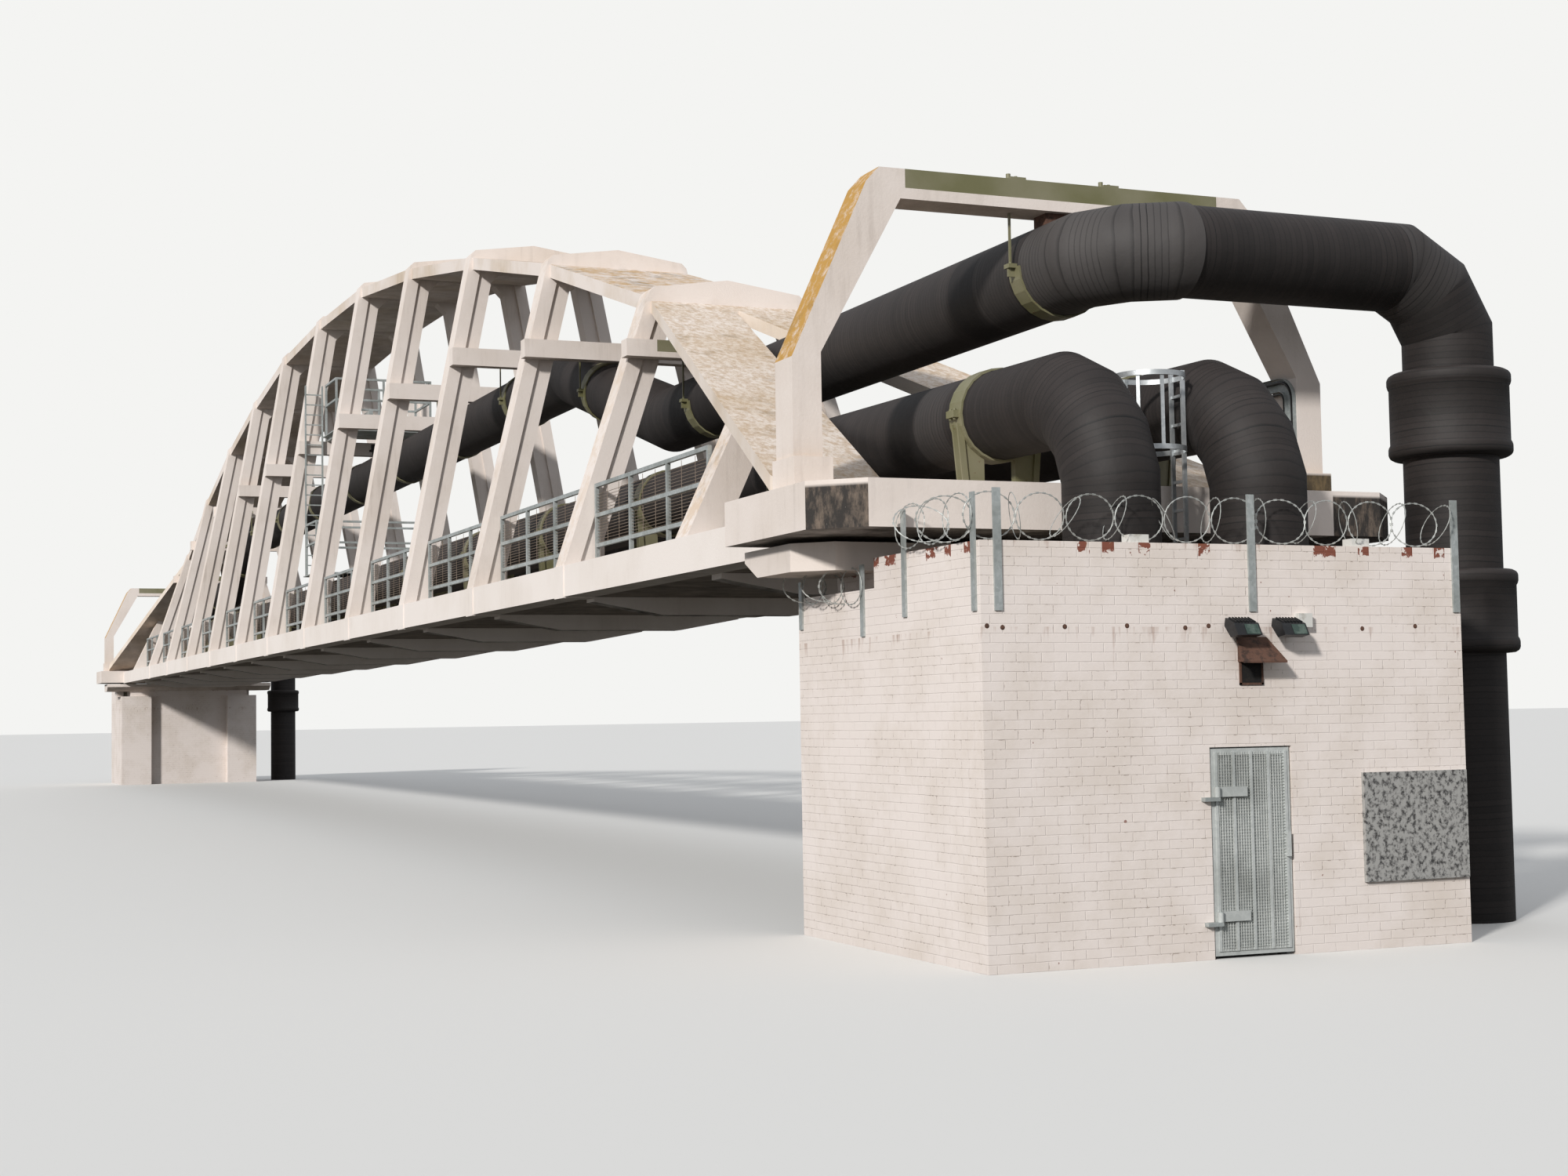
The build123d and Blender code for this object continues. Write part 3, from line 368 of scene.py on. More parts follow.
@dataclass(frozen=True)
class PaintedBrick(Finish):
    """White paint brushed on stretcher-bond brick: courses show through, and whole faces have flaked to red.

    Sizes and heights are in millimetres.
    """

    ground: str = "#E8DED8"
    joint: str = "#CFC3BA"
    open_joint: str = "#7D6A5C"
    tired: str = "#D6CABF"
    bare: str = "#814B3B"
    rust: str = "#8A5A38"
    brick: float = 112.5
    mortar: float = 2.6
    wobble: float = 71.429          # the courses wander this often, by up to 4 mm
    patch: float = 384.62           # patches of tired paint
    grain: float = 23.81
    speck: float = 41.667
    drip: Point = (33.333, 33.333, 312.5)
    flake_from: float = 1672.0      # the flaked bricks' ragged lower edge, with its noise added
    flaked: float = 0.34            # share of the top course's headers that have lost their paint
    rust_from: tuple[tuple[float, float], ...] = ((PLUG_Z, 90.0), (ROOF_Z, 60.0))       # height, reach

    def lay(self, coats: Coats) -> None:
        """Lay courses, paint, flaked bricks and stains."""
        spot = coats.add("SeparateXYZ", {"Vector": coats.place}).node.outputs
        endways = coats.add("Math", {0: coats.normal()["X"]}, operation="ABSOLUTE")
        end_wall = coats.add("Math", {0: endways, 1: 0.5}, operation="GREATER_THAN")
        along = coats.add("Mix", {MIX_FACTOR: end_wall, 2: spot["X"], 3: spot["Y"]}, data_type="FLOAT")
        bond = self.bond(coats, along, spot["Z"])
        joints = bond["Fac"]
        patch = coats.grain(self.patch, 6.0, 0.65)
        fine = coats.grain(self.grain, 7.0, 0.7)
        coats.lay(self.tired, patch, low=0.42, high=0.68, most=0.75)
        # paint fills most joints; only some stretches of them still show as a line
        coats.lay(self.joint, patch, low=0.35, high=0.65, least=0.05, most=0.4, masks=(joints,))
        # a few joints have opened to a dark line a brick or two long
        cracked = coats.add("MapRange", {"Value": patch, "From Min": 0.4, "From Max": 0.6, "To Min": 0.1})
        coats.lay(self.open_joint, fine, low=0.54, high=0.6, most=0.7, masks=(joints, cracked))
        coats.lay(self.bare, self.flakes(coats, along, spot["Z"], fine))
        coats.lay(self.rust, self.drips(coats, spot["Z"]), low=0.7, high=0.84, most=0.45)
        coats.shader.inputs["Roughness"].default_value = 0.82
        # bricks stand proud of their joints, each by its own amount
        proud = coats.add("Math", {0: 1.0, 1: joints}, operation="SUBTRACT")
        proud = coats.add("Math", {0: proud, 1: 0.45}, operation="MULTIPLY")
        tone = coats.add("Math", {0: bond["Color"], 1: 0.25}, operation="MULTIPLY")
        proud = coats.add("Math", {0: proud, 1: tone}, operation="ADD")
        proud = coats.add("Math", {0: fine, 1: 0.45, 2: proud}, operation="MULTIPLY_ADD")
        coats.relief(proud, depth=3.0, strength=0.6)

    def bond(self, coats: Coats, along: Socket, height: Socket) -> Sockets:
        """Lay out the courses.

        Args:
            coats: The material's coats.
            along: Distance along the wall.
            height: Height on the wall.

        Returns:
            The brick pattern's outputs: "Fac" is one in the joints, "Color" is each brick's own grey.
        """
        flat = coats.add("CombineXYZ", {"X": along, "Y": height})
        wobble = coats.grain(self.wobble, 2.0).node.outputs["Color"]
        shifted = coats.add("VectorMath", {0: wobble, 1: (4 * MM, 4 * MM, 0.0), 2: flat},
                            operation="MULTIPLY_ADD")
        black, white = linear("#000000"), linear("#FFFFFF")
        return coats.add("TexBrick", {"Vector": shifted, "Scale": 1.0, "Mortar Size": self.mortar * MM,
                                      "Mortar Smooth": 0.6, "Bias": 0.0, "Brick Width": self.brick * MM,
                                      "Row Height": COURSE * MM, "Color1": black, "Color2": white,
                                      "Mortar": black}, offset=0.5, offset_frequency=2).node.outputs

    def flakes(self, coats: Coats, along: Socket, height: Socket, fine: Socket) -> Socket:
        """Find where frost has taken the paint: headers in the top course, and specks anywhere.

        Args:
            coats: The material's coats.
            along: Distance along the wall.
            height: Height on the wall.
            fine: Fine noise that roughens the lower edge.

        Returns:
            Socket that is one on bare brick.
        """
        header = coats.add("Math", {0: along, 1: self.brick * MM / 2}, operation="DIVIDE")
        header = coats.add("Math", {0: header}, operation="FLOOR")
        draw = coats.add("TexWhiteNoise", {"W": header}, noise_dimensions="1D")
        flaked = coats.add("Math", {0: draw, 1: 1.0 - self.flaked}, operation="GREATER_THAN")
        edge = coats.add("Math", {0: fine, 1: 0.08, 2: height}, operation="MULTIPLY_ADD")
        top = coats.add("MapRange", {"Value": edge, "From Min": self.flake_from * MM,
                                     "From Max": (self.flake_from + 4) * MM})
        specks = coats.grain(self.speck, 3.0, 0.6)
        ragged = coats.add("MapRange", {"Value": specks, "From Min": 0.44, "From Max": 0.47})
        lone = coats.add("MapRange", {"Value": specks, "From Min": 0.735, "From Max": 0.75, "To Max": 0.8})
        return coats.add("Math", {0: coats.cut(flaked, (top, ragged)), 1: lone}, operation="MAXIMUM")

    def drips(self, coats: Coats, height: Socket) -> Socket:
        """Noise of small rust runs, with more of them under the row of plugs and under the roof's edge."""
        runs = coats.grain(self.drip, 4.0)
        for start, reach in self.rust_from:
            rise = coats.add("MapRange", {"Value": height, "From Min": (start - reach) * MM,
                                          "From Max": start * MM})
            under = coats.add("Math", {0: height, 1: (start + 2.0) * MM}, operation="LESS_THAN")
            runs = coats.add("Math", {0: coats.cut(rise, (under,)), 1: 0.17, 2: runs},
                             operation="MULTIPLY_ADD")
        return runs


@dataclass(frozen=True)
class TapeWrap(Finish):
    """Bitumen tape wound on a steel main: narrow laps, matt brown-black, dust and painted sky light on top,
    darker butt laps.

    Sizes are in millimetres.
    """

    ground: str = "#141110"
    # settled dust, and painted sky light on the pipe's top
    dusty: str = "#3A3331"
    worn: str = "#575453"
    fresh: str = "#0C0B0D"
    gap: str = "#0A0909"            # the shadow under a lap's edge
    lap: float = 29.0               # pitch of the laps along the pipe
    follow: str = "run"             # attribute with the distance along the pipe; empty for heights
    wander: float = 416.67
    dust: float = 285.71
    ripple: float = 62.5

    def lay(self, coats: Coats) -> None:
        """Lay lap edges, dust with painted sky light on top, and the paler wound bands."""
        if self.follow:
            run = coats.add("Attribute", output="Fac", attribute_name=self.follow)
        else:
            run = coats.add("SeparateXYZ", {"Vector": coats.place}, "Z")
        wander = coats.grain(self.wander, 3.0)
        dust = coats.grain(self.dust, 8.0, 0.7)
        ripple = coats.grain(self.ripple, 4.0)
        # the lap edge wanders by most of its pitch, as hand winding does
        skew = coats.add("Math", {0: wander, 1: 1.1 * self.lap * MM, 2: run}, operation="MULTIPLY_ADD")
        laps = coats.add("Math", {0: skew, 1: self.lap * MM}, operation="DIVIDE")
        edge, count = [coats.add("Math", {0: laps}, operation=part) for part in ("FRACT", "FLOOR")]
        tone = coats.add("TexWhiteNoise", {"W": count}, noise_dimensions="1D")
        # faces turned up grow paler: settled dust, and painted sky light that stands for the tape's sheen
        sky = coats.add("MapRange", {"Value": coats.normal()["Z"], "From Min": -0.6, "From Max": 0.9,
                                     "To Min": 0.15})
        dust_and_top_light = coats.cut(sky, (dust,))
        coats.lay(self.dusty, coats.add("Math", {0: tone, 1: 0.24, 2: dust_and_top_light}, operation="MULTIPLY_ADD"))
        band = coats.add("Attribute", output="Fac", attribute_name="band")
        coats.lay(self.worn, band)
        coats.lay(self.fresh, band, high=-1.0)
        # about one lap in six is a butt between two rolls and shows as a heavier line
        butt = coats.add("Math", {0: tone, 1: 0.82}, operation="GREATER_THAN")
        weight = coats.add("Math", {0: butt, 1: 0.45, 2: 0.55}, operation="MULTIPLY_ADD")
        coats.lay(self.gap, edge, low=0.24, high=0.05, masks=(weight,))
        coats.dull(dust, 0.58, 0.8)
        coats.shader.inputs["IOR"].default_value = 1.48
        height = coats.add("Math", {0: ripple, 1: 0.9, 2: edge}, operation="MULTIPLY_ADD")
        coats.relief(height, depth=3.5, strength=0.75)


@dataclass(frozen=True)
class CoatedSteel(Finish):
    """Brushed paint on rolled steel: satin, sun-bleached in patches, chipped to rust in spots."""

    ground: str = "#6E6C4A"
    faded: str = "#86826A"
    chip: str = "#6B4327"
    chips: float = 0.25
    roughness: float = 0.5
    patch: float = 333.33           # bleached patches in millimetres
    spot: float = 38.462            # chips in millimetres

    def lay(self, coats: Coats) -> None:
        """Lay bleaching and rusty chips on the paint."""
        patch = coats.grain(self.patch, 5.0)
        spots = coats.grain(self.spot, 8.0, 0.7)
        coats.lay(self.faded, patch, low=0.35, high=0.7)
        bare = coats.lay(self.chip, spots, low=0.7 - 0.25 * self.chips, high=0.76 - 0.2 * self.chips)
        coats.dull(bare, self.roughness, 0.9)
        coats.relief(spots, depth=1.5, strength=0.3)


@dataclass(frozen=True)
class HotDipZinc(Finish):
    """Hot-dip galvanised steel: crystals of 10 to 20 mm in a soft metal sheen, white rust in wet spots."""

    ground: str = "#A9AFAE"
    crystal: str = "#BCC1C0"
    dulled: str = "#8A8F8B"
    metallic: float = 0.45
    roughness: float = 0.48
    spangle: float = 14.286         # crystals in millimetres
    patch: float = 200.0            # weathered patches in millimetres

    def lay(self, coats: Coats) -> None:
        """Lay spangle and weathering on the zinc."""
        spangle = coats.add("TexVoronoi", {"Vector": coats.place, "Scale": per_metre(self.spangle)}, "Color")
        tone = coats.add("SeparateColor", {"Color": spangle}, "Red")
        patch = coats.grain(self.patch, 6.0, 0.65)
        coats.lay(self.crystal, tone)
        coats.lay(self.dulled, patch, low=0.42, high=0.7, most=0.8)
        coats.shader.inputs["Metallic"].default_value = self.metallic
        coats.dull(patch, self.roughness, self.roughness + 0.3)
        coats.relief(tone, depth=0.4, strength=0.25)


@dataclass(frozen=True)
class Blotched(Finish):
    """Two-tone weathered surface: bare concrete, rubber, plastic, rust or glass, by its values."""

    ground: str = "#9A9388"
    dark: str = "#6A6459"
    patch: float = 120.0            # size of the blotches in millimetres
    grain: float = 8.0              # size of the surface grain in millimetres
    depth: float = 2.0
    roughness: float = 0.8
    metallic: float = 0.0
    share: float = 0.5

    def lay(self, coats: Coats) -> None:
        """Lay blotches and grain at their real sizes."""
        blotch = coats.grain(self.patch, 7.0, 0.68)
        grain = coats.grain(self.grain, 4.0, 0.6)
        coats.lay(self.dark, blotch, low=0.72 - 0.45 * self.share, high=0.86 - 0.45 * self.share)
        coats.shader.inputs["Metallic"].default_value = self.metallic
        coats.dull(grain, max(self.roughness - 0.12, 0.03), min(self.roughness + 0.12, 1.0))
        coats.relief(grain, self.depth, strength=0.4)


CLEAN_CONCRETE = MasonryPaint("masonry_paint_on_precast", lichen_cover=0.35, moss_cover=0.3, streaks=0.45)
BEAM_CONCRETE = MasonryPaint("fresh_masonry_paint_on_edge_beams", ground="#EDE5DF", tired="#DCD1C7",
                             streaks=0.15)
ARCH_CONCRETE = MasonryPaint("weathered_paint_on_arch_slab", tired="#C7B49C", lichen_cover=0.75,
                             moss_cover=0.6, tired_cover=0.75, streaks=0.3)
PLATE_CONCRETE = MasonryPaint("weathered_paint_on_sloping_plates", ground="#E9DED4", tired="#D2BFA8",
                              lichen="#AC8650", lichen_cover=0.55, moss="#866C44", moss_cover=0.45,
                              tired_cover=0.8, streaks=0.25, crust=38.0, drawn=1.7)
GALLOWS_CONCRETE = MasonryPaint("weathered_paint_on_gallows", lichen_cover=0.95, moss_cover=0.3, streaks=0.4,
                                crust=60.0, level=0.42, bare_top=2137.0, bare="#4A4031", bare_pale="#7C6A4C")
HEADSTOCK_CONCRETE = MasonryPaint("algae_stained_paint_on_headstock", grime_and_soffit_shade="#38332D", soffit_dirt_and_shade=0.95,
                                  lichen_cover=0.5, moss_cover=0.4, streaks=0.4, bare_top=1974.0)
# the deck's darker ground and dark soffits stand for silt and for painted shade under the deck
SOFFIT_CONCRETE = MasonryPaint("silt_and_painted_shade_on_soffits", ground="#B3A598", tired="#94857A", grime_and_soffit_shade="#453A30",
                               soffit_dirt_and_shade=0.9, tired_cover=0.9)
# the ribs' faces that look down go dark: silt, and painted shade under the deck
RIB_CONCRETE = MasonryPaint("silt_and_painted_shade_on_soffit_ribs", ground="#F0E8E2", tired="#CFC3B7", grime_and_soffit_shade="#3A3128",
                            soffit_dirt_and_shade=1.0, streaks=0.15)
CHAMBER_BRICK = PaintedBrick("paint_flaking_off_brick")
ROOF_CONCRETE = Blotched("bare_screeded_concrete", ground="#A79F93", dark="#5F5A4C", patch=180.0, share=0.55)
BEARING_RUBBER = Blotched("moulded_bearing_rubber", ground="#1B1A19", dark="#2A2826", patch=60.0, grain=3.0,
                          depth=0.5, roughness=0.75)
OLIVE_STEEL = CoatedSteel("olive_paint_on_steel")
PIPE_TAPE = TapeWrap("wound_bitumen_tape")
SLEEVE_TAPE = TapeWrap("wound_tape_on_sleeves", follow="", lap=30.0)
ZINC = HotDipZinc("hot_dip_galvanised_steel")
DOOR_ZINC = HotDipZinc("weathered_zinc_sheet", ground="#BCC0BE", crystal="#C9CCCA", dulled="#A2A6A3",
                       metallic=0.2, roughness=0.6)
BRIGHT_ZINC = HotDipZinc("new_galvanised_steel", ground="#C4C8CA", crystal="#D6D9DA", dulled="#AEB3B4",
                         metallic=0.75, roughness=0.32)
WIRE_ZINC = HotDipZinc("galvanised_wire", ground="#B4B7B4", crystal="#C4C6C2", dulled="#8E8F8A",
                       roughness=0.4)
OLD_WIRE = HotDipZinc("stained_fence_wire", ground="#8A7A6C", crystal="#9A8C7E", dulled="#6B5A4B",
                      metallic=0.2, roughness=0.6)
BLACK_PLASTIC = Blotched("moulded_black_plastic", ground="#17181A", dark="#232426", patch=40.0, grain=2.0,
                         depth=0.2, roughness=0.45)
WHITE_PLASTIC = Blotched("moulded_white_plastic", ground="#D4D3CE", dark="#B3B0A6", patch=50.0, grain=2.0,
                         depth=0.2, roughness=0.5, share=0.4)
LAMP_GLASS = Blotched("flood_lamp_glass", ground="#34463F", dark="#54635B", patch=60.0, grain=30.0,
                      depth=0.05, roughness=0.12)
RUSTY_STEEL = Blotched("rusted_sheet_steel", ground="#614538", dark="#362923", patch=45.0, grain=5.0,
                       depth=1.0, roughness=0.85, share=0.5)
OLD_GRILLE = Blotched("oxidised_louvre_steel", ground="#A09F9C", dark="#3B3A3A", patch=24.0, grain=9.0,
                      depth=3.0, roughness=0.8, share=0.56)
# painted shade for the dark inside of the vent's opening
DARK_HOLE = Blotched("painted_shade_in_a_hole", ground="#151413", dark="#241F1B", patch=20.0, grain=4.0, depth=0.5,
                     roughness=0.95)
CABLE_BLACK = Blotched("extruded_cable_sheath", ground="#161616", dark="#262524", patch=60.0, grain=3.0,
                       depth=0.1, roughness=0.4)

# the start of a CAD node's name picks its finish; the longest start that fits wins
NODE_FINISHES: dict[Finish, tuple[str, ...]] = {
    CLEAN_CONCRETE: ("short_posts", "crossbeams", "pier_cap", "frame_", "frames_"),
    BEAM_CONCRETE: ("edge_beam",),
    ARCH_CONCRETE: ("arch_slab",),
    PLATE_CONCRETE: ("portal_legs",),
    GALLOWS_CONCRETE: ("gallows",),
    HEADSTOCK_CONCRETE: ("headstock",),
    SOFFIT_CONCRETE: ("deck",),
    RIB_CONCRETE: ("soffit_ribs",),
    CHAMBER_BRICK: ("pier_near", "pier_far", "chamber"),
    ROOF_CONCRETE: ("chamber_roof",),
    BEARING_RUBBER: ("bearings",),
    OLIVE_STEEL: ("steel_channels", "pipe_hangers", "pipe_saddles", "gallows_hangers"),
    PIPE_TAPE: ("upper_pipe", "lower_pipe"),
    SLEEVE_TAPE: ("sleeves", "air_valve"),
    RUSTY_STEEL: ("packers", "vent_hood"),
    ZINC: ("railing", "upper_platform", "landing", "platform_rails", "platform_ladder", "wall_brackets",
           "door_frame"),
    BRIGHT_ZINC: ("caged_ladder",),
    DOOR_ZINC: ("door_near",),
    BLACK_PLASTIC: ("floodlights",),
    WHITE_PLASTIC: ("junction_boxes",),
    OLD_GRILLE: ("grille_panel",),
}


def dress_cad_nodes() -> None:
    """Give each CAD node that stays its finish."""
    starts = {start: finish for finish, names in NODE_FINISHES.items() for start in names}
    for name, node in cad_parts.items():
        material = starts[max((start for start in starts if name.startswith(start)), key=len)].make()
        for held in node.material_slots:
            held.material = material
        log.info("node %s: %s", name, material.name)


class Stock:
    """Vertices and faces of one piece while it is being made, in metres."""

    def __init__(self) -> None:
        """Start with an empty mesh."""
        self.mesh = bmesh.new()

    def skin(self, rings: list[list[Vector]], closed: bool = True) -> None:
        """Join rings of points to a closed skin with flat ends.

        Args:
            rings: Rings with the same number of points.
            closed: Whether the ends get a face.
        """
        made = [[self.mesh.verts.new(p) for p in ring] for ring in rings]
        count = len(rings[0])
        for low, high in zip(made, made[1:]):
            for i in range(count):
                j = (i + 1) % count
                self.mesh.faces.new((low[i], low[j], high[j], high[i]))
        if closed:
            self.mesh.faces.new(list(reversed(made[0])))
            self.mesh.faces.new(made[-1])

    def block(self, low: Vector, high: Vector) -> None:
        """Add a box between two corners."""
        rings = []
        for z in (low.z, high.z):
            rings.append([Vector((low.x, low.y, z)), Vector((high.x, low.y, z)), Vector((high.x, high.y, z)),
                          Vector((low.x, high.y, z))])
        self.skin(rings)

    def bar(self, start: Vector, end: Vector, width: float, depth: float, up: Vector) -> None:
        """Add a flat bar from start to end.

        Args:
            start: Middle of the first end.
            end: Middle of the second end.
            width: Size across `up`, in metres.
            depth: Size along `up`, in metres.
            up: A direction that is not the bar's own.
        """
        line = (end - start).normalized()
        side = line.cross(up).normalized() * width / 2
        rise = side.cross(line).normalized() * depth / 2
        corners = (-side - rise, side - rise, side + rise, rise - side)
        self.skin([[p + corner for corner in corners] for p in (start, end)])

    def tube(self, path: list[Vector], radius: float, sides: int = 8) -> None:
        """Add a round bar along a path."""
        rings = []
        turns = [2 * math.pi * k / sides for k in range(sides)]
        reference = Vector((0.0, 0.0, 1.0))
        for i, point in enumerate(path):
            line = (path[min(i + 1, len(path) - 1)] - path[max(i - 1, 0)]).normalized()
            if abs(line.dot(reference)) > 0.98:
                reference = Vector((1.0, 0.0, 0.0))
            side = line.cross(reference).normalized()
            rise = side.cross(line).normalized()
            reference = rise
            rings.append([point + radius * (math.cos(a) * side + math.sin(a) * rise) for a in turns])
        self.skin(rings)

    def lathe(self, centre: Vector, profile: list[tuple[float, float]], sides: int = 48) -> None:
        """Turn a profile of radius and height, in millimetres, about a vertical axis.

        Args:
            centre: Point on the axis at height zero.
            profile: Radius and height of each ring, from one end to the other.
            sides: Faces round the axis.
        """
        turns = [2 * math.pi * k / sides for k in range(sides)]
        self.skin([[centre + Vector((radius * MM * math.cos(a), radius * MM * math.sin(a), height * MM))
                    for a in turns] for radius, height in profile])

    def piece(self, name: str, finish: Finish, body: Body, slot: Slot,
              smooth: float = 30.0) -> bpy.types.Object:
        """Turn the stock into a finished object that rides on a body.

        Args:
            name: Name of the piece.
            finish: Its finish.
            body: The CAD body that carries it.
            slot: The record's slot that it belongs to; not used.
            smooth: Edges sharper than this many degrees stay sharp.

        Returns:
            The new object.
        """
        bmesh.ops.remove_doubles(self.mesh, verts=self.mesh.verts, dist=1e-6)
        bmesh.ops.recalc_face_normals(self.mesh, faces=self.mesh.faces)
        mesh = bpy.data.meshes.new(name)
        self.mesh.to_mesh(mesh)
        self.mesh.free()
        mesh.materials.append(finish.make())
        return hand_over(show(name, mesh), body, smooth)


def hand_over(made: bpy.types.Object, body: Body, smooth: float = 30.0) -> bpy.types.Object:
    """Shade a piece, and let it ride on its body."""
    made.data.polygons.foreach_set("use_smooth", [True] * len(made.data.polygons))
    made.data.set_sharp_from_angle(angle=math.radians(smooth))
    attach(made, body.value)
    log.info("piece %s: %d faces on %s", made.name, len(made.data.polygons), body.value)
    return made


class Recipe(Tree):
    """A Geometry Nodes tree with named inputs that is run once and kept as a plain mesh."""

    FAMILY = "GeometryNode"

    def __init__(self, name: str) -> None:
        """Start a tree with one geometry input and one geometry output."""
        super().__init__(bpy.data.node_groups.new(name, "GeometryNodeTree"))
        self.name = name
        for way in ("INPUT", "OUTPUT"):
            self.tree.interface.new_socket("Geometry", in_out=way, socket_type="NodeSocketGeometry")
        self.carrier = self.add("NodeGroupInput")
        self.values: dict[str, float] = {}

    def size(self, label: str, value: float) -> Socket:
        """Add a named input with its value.

        Args:
            label: Name of the input.
            value: Its value, in metres or radians, or a whole number for a count.

        Returns:
            The socket to link from.
        """
        kind = "NodeSocketInt" if isinstance(value, int) else "NodeSocketFloat"
        item = self.tree.interface.new_socket(label, in_out="INPUT", socket_type=kind)
        self.values[item.identifier] = value
        return self.carrier.node.outputs[label]

    def bake(self, carrier: bpy.types.Mesh, result: Socket, finish: Finish) -> bpy.types.Object:
        """Run the tree on a carrier mesh and keep the outcome.

        Args:
            carrier: Mesh that feeds the geometry input.
            result: Socket with the geometry that was made.
            finish: Finish of the outcome.

        Returns:
            A plain mesh object at the origin, with the recipe's name.
        """
        real = self.add("RealizeInstances", {"Geometry": result})
        paint = self.add("SetMaterial", {"Geometry": real, "Material": finish.make()})
        self.add("NodeGroupOutput", {"Geometry": paint})
        holder = show(self.name + "_carrier", carrier)
        modifier = holder.modifiers.new("recipe", "NODES")
        modifier.node_group = self.tree
        for identifier, value in self.values.items():
            modifier[identifier] = value
        bpy.context.view_layer.update()
        evaluated = holder.evaluated_get(bpy.context.evaluated_depsgraph_get())
        mesh = bpy.data.meshes.new_from_object(evaluated)
        holder.modifiers.remove(modifier)
        bpy.data.objects.remove(holder)
        return show(self.name, mesh)


def points_mesh(points: list[Vector], facing: list[Vector] | None = None) -> bpy.types.Mesh:
    """A mesh of loose points, with a direction kept on each if given.

    Args:
        points: The points, in metres.
        facing: Directions for the attribute "facing".

    Returns:
        The new mesh.
    """
    mesh = bpy.data.meshes.new("points")
    mesh.from_pydata([tuple(p) for p in points], [], [])
    if facing is not None:
        kept = mesh.attributes.new("facing", "FLOAT_VECTOR", "POINT")
        kept.data.foreach_set("vector", [c for v in facing for c in v])
    return mesh


def mitre_route(corners: list[Vector], bend: float, gores: int) -> list[Vector]:
    """Line of a pipe whose right angles are made up of mitred gores.

    Args:
        corners: Ends and corners of the pipe's centre line, in metres.
        bend: Radius of the bends, in metres.
        gores: Mitre joints in a right angle; a shallow turn is one joint.

    Returns:
        The ends and the joints.
    """
    route = [corners[0]]
    for before, corner, after in zip(corners, corners[1:], corners[2:]):
        ahead = (corner - before).normalized()
        onward = (after - corner).normalized()
        turn = ahead.angle(onward)
        if turn < SHALLOW_TURN:
            route.append(corner)
            continue
        step = turn / gores
        here = corner - ahead * bend * (math.tan(turn / 2) - math.tan(step / 2))
        axis = ahead.cross(onward).normalized()
        for i in range(1, gores + 1):
            route.append(here)
            line = Matrix.Rotation(i * step, 3, axis) @ ahead
            here = here + line * 2 * bend * math.tan(step / 2)
    return route + [corners[-1]]


@dataclass(frozen=True)
class Stretch:
    """Part of a pipe between the places on its line nearest to two points in millimetres, with a value."""

    start: Point
    end: Point
    value: float


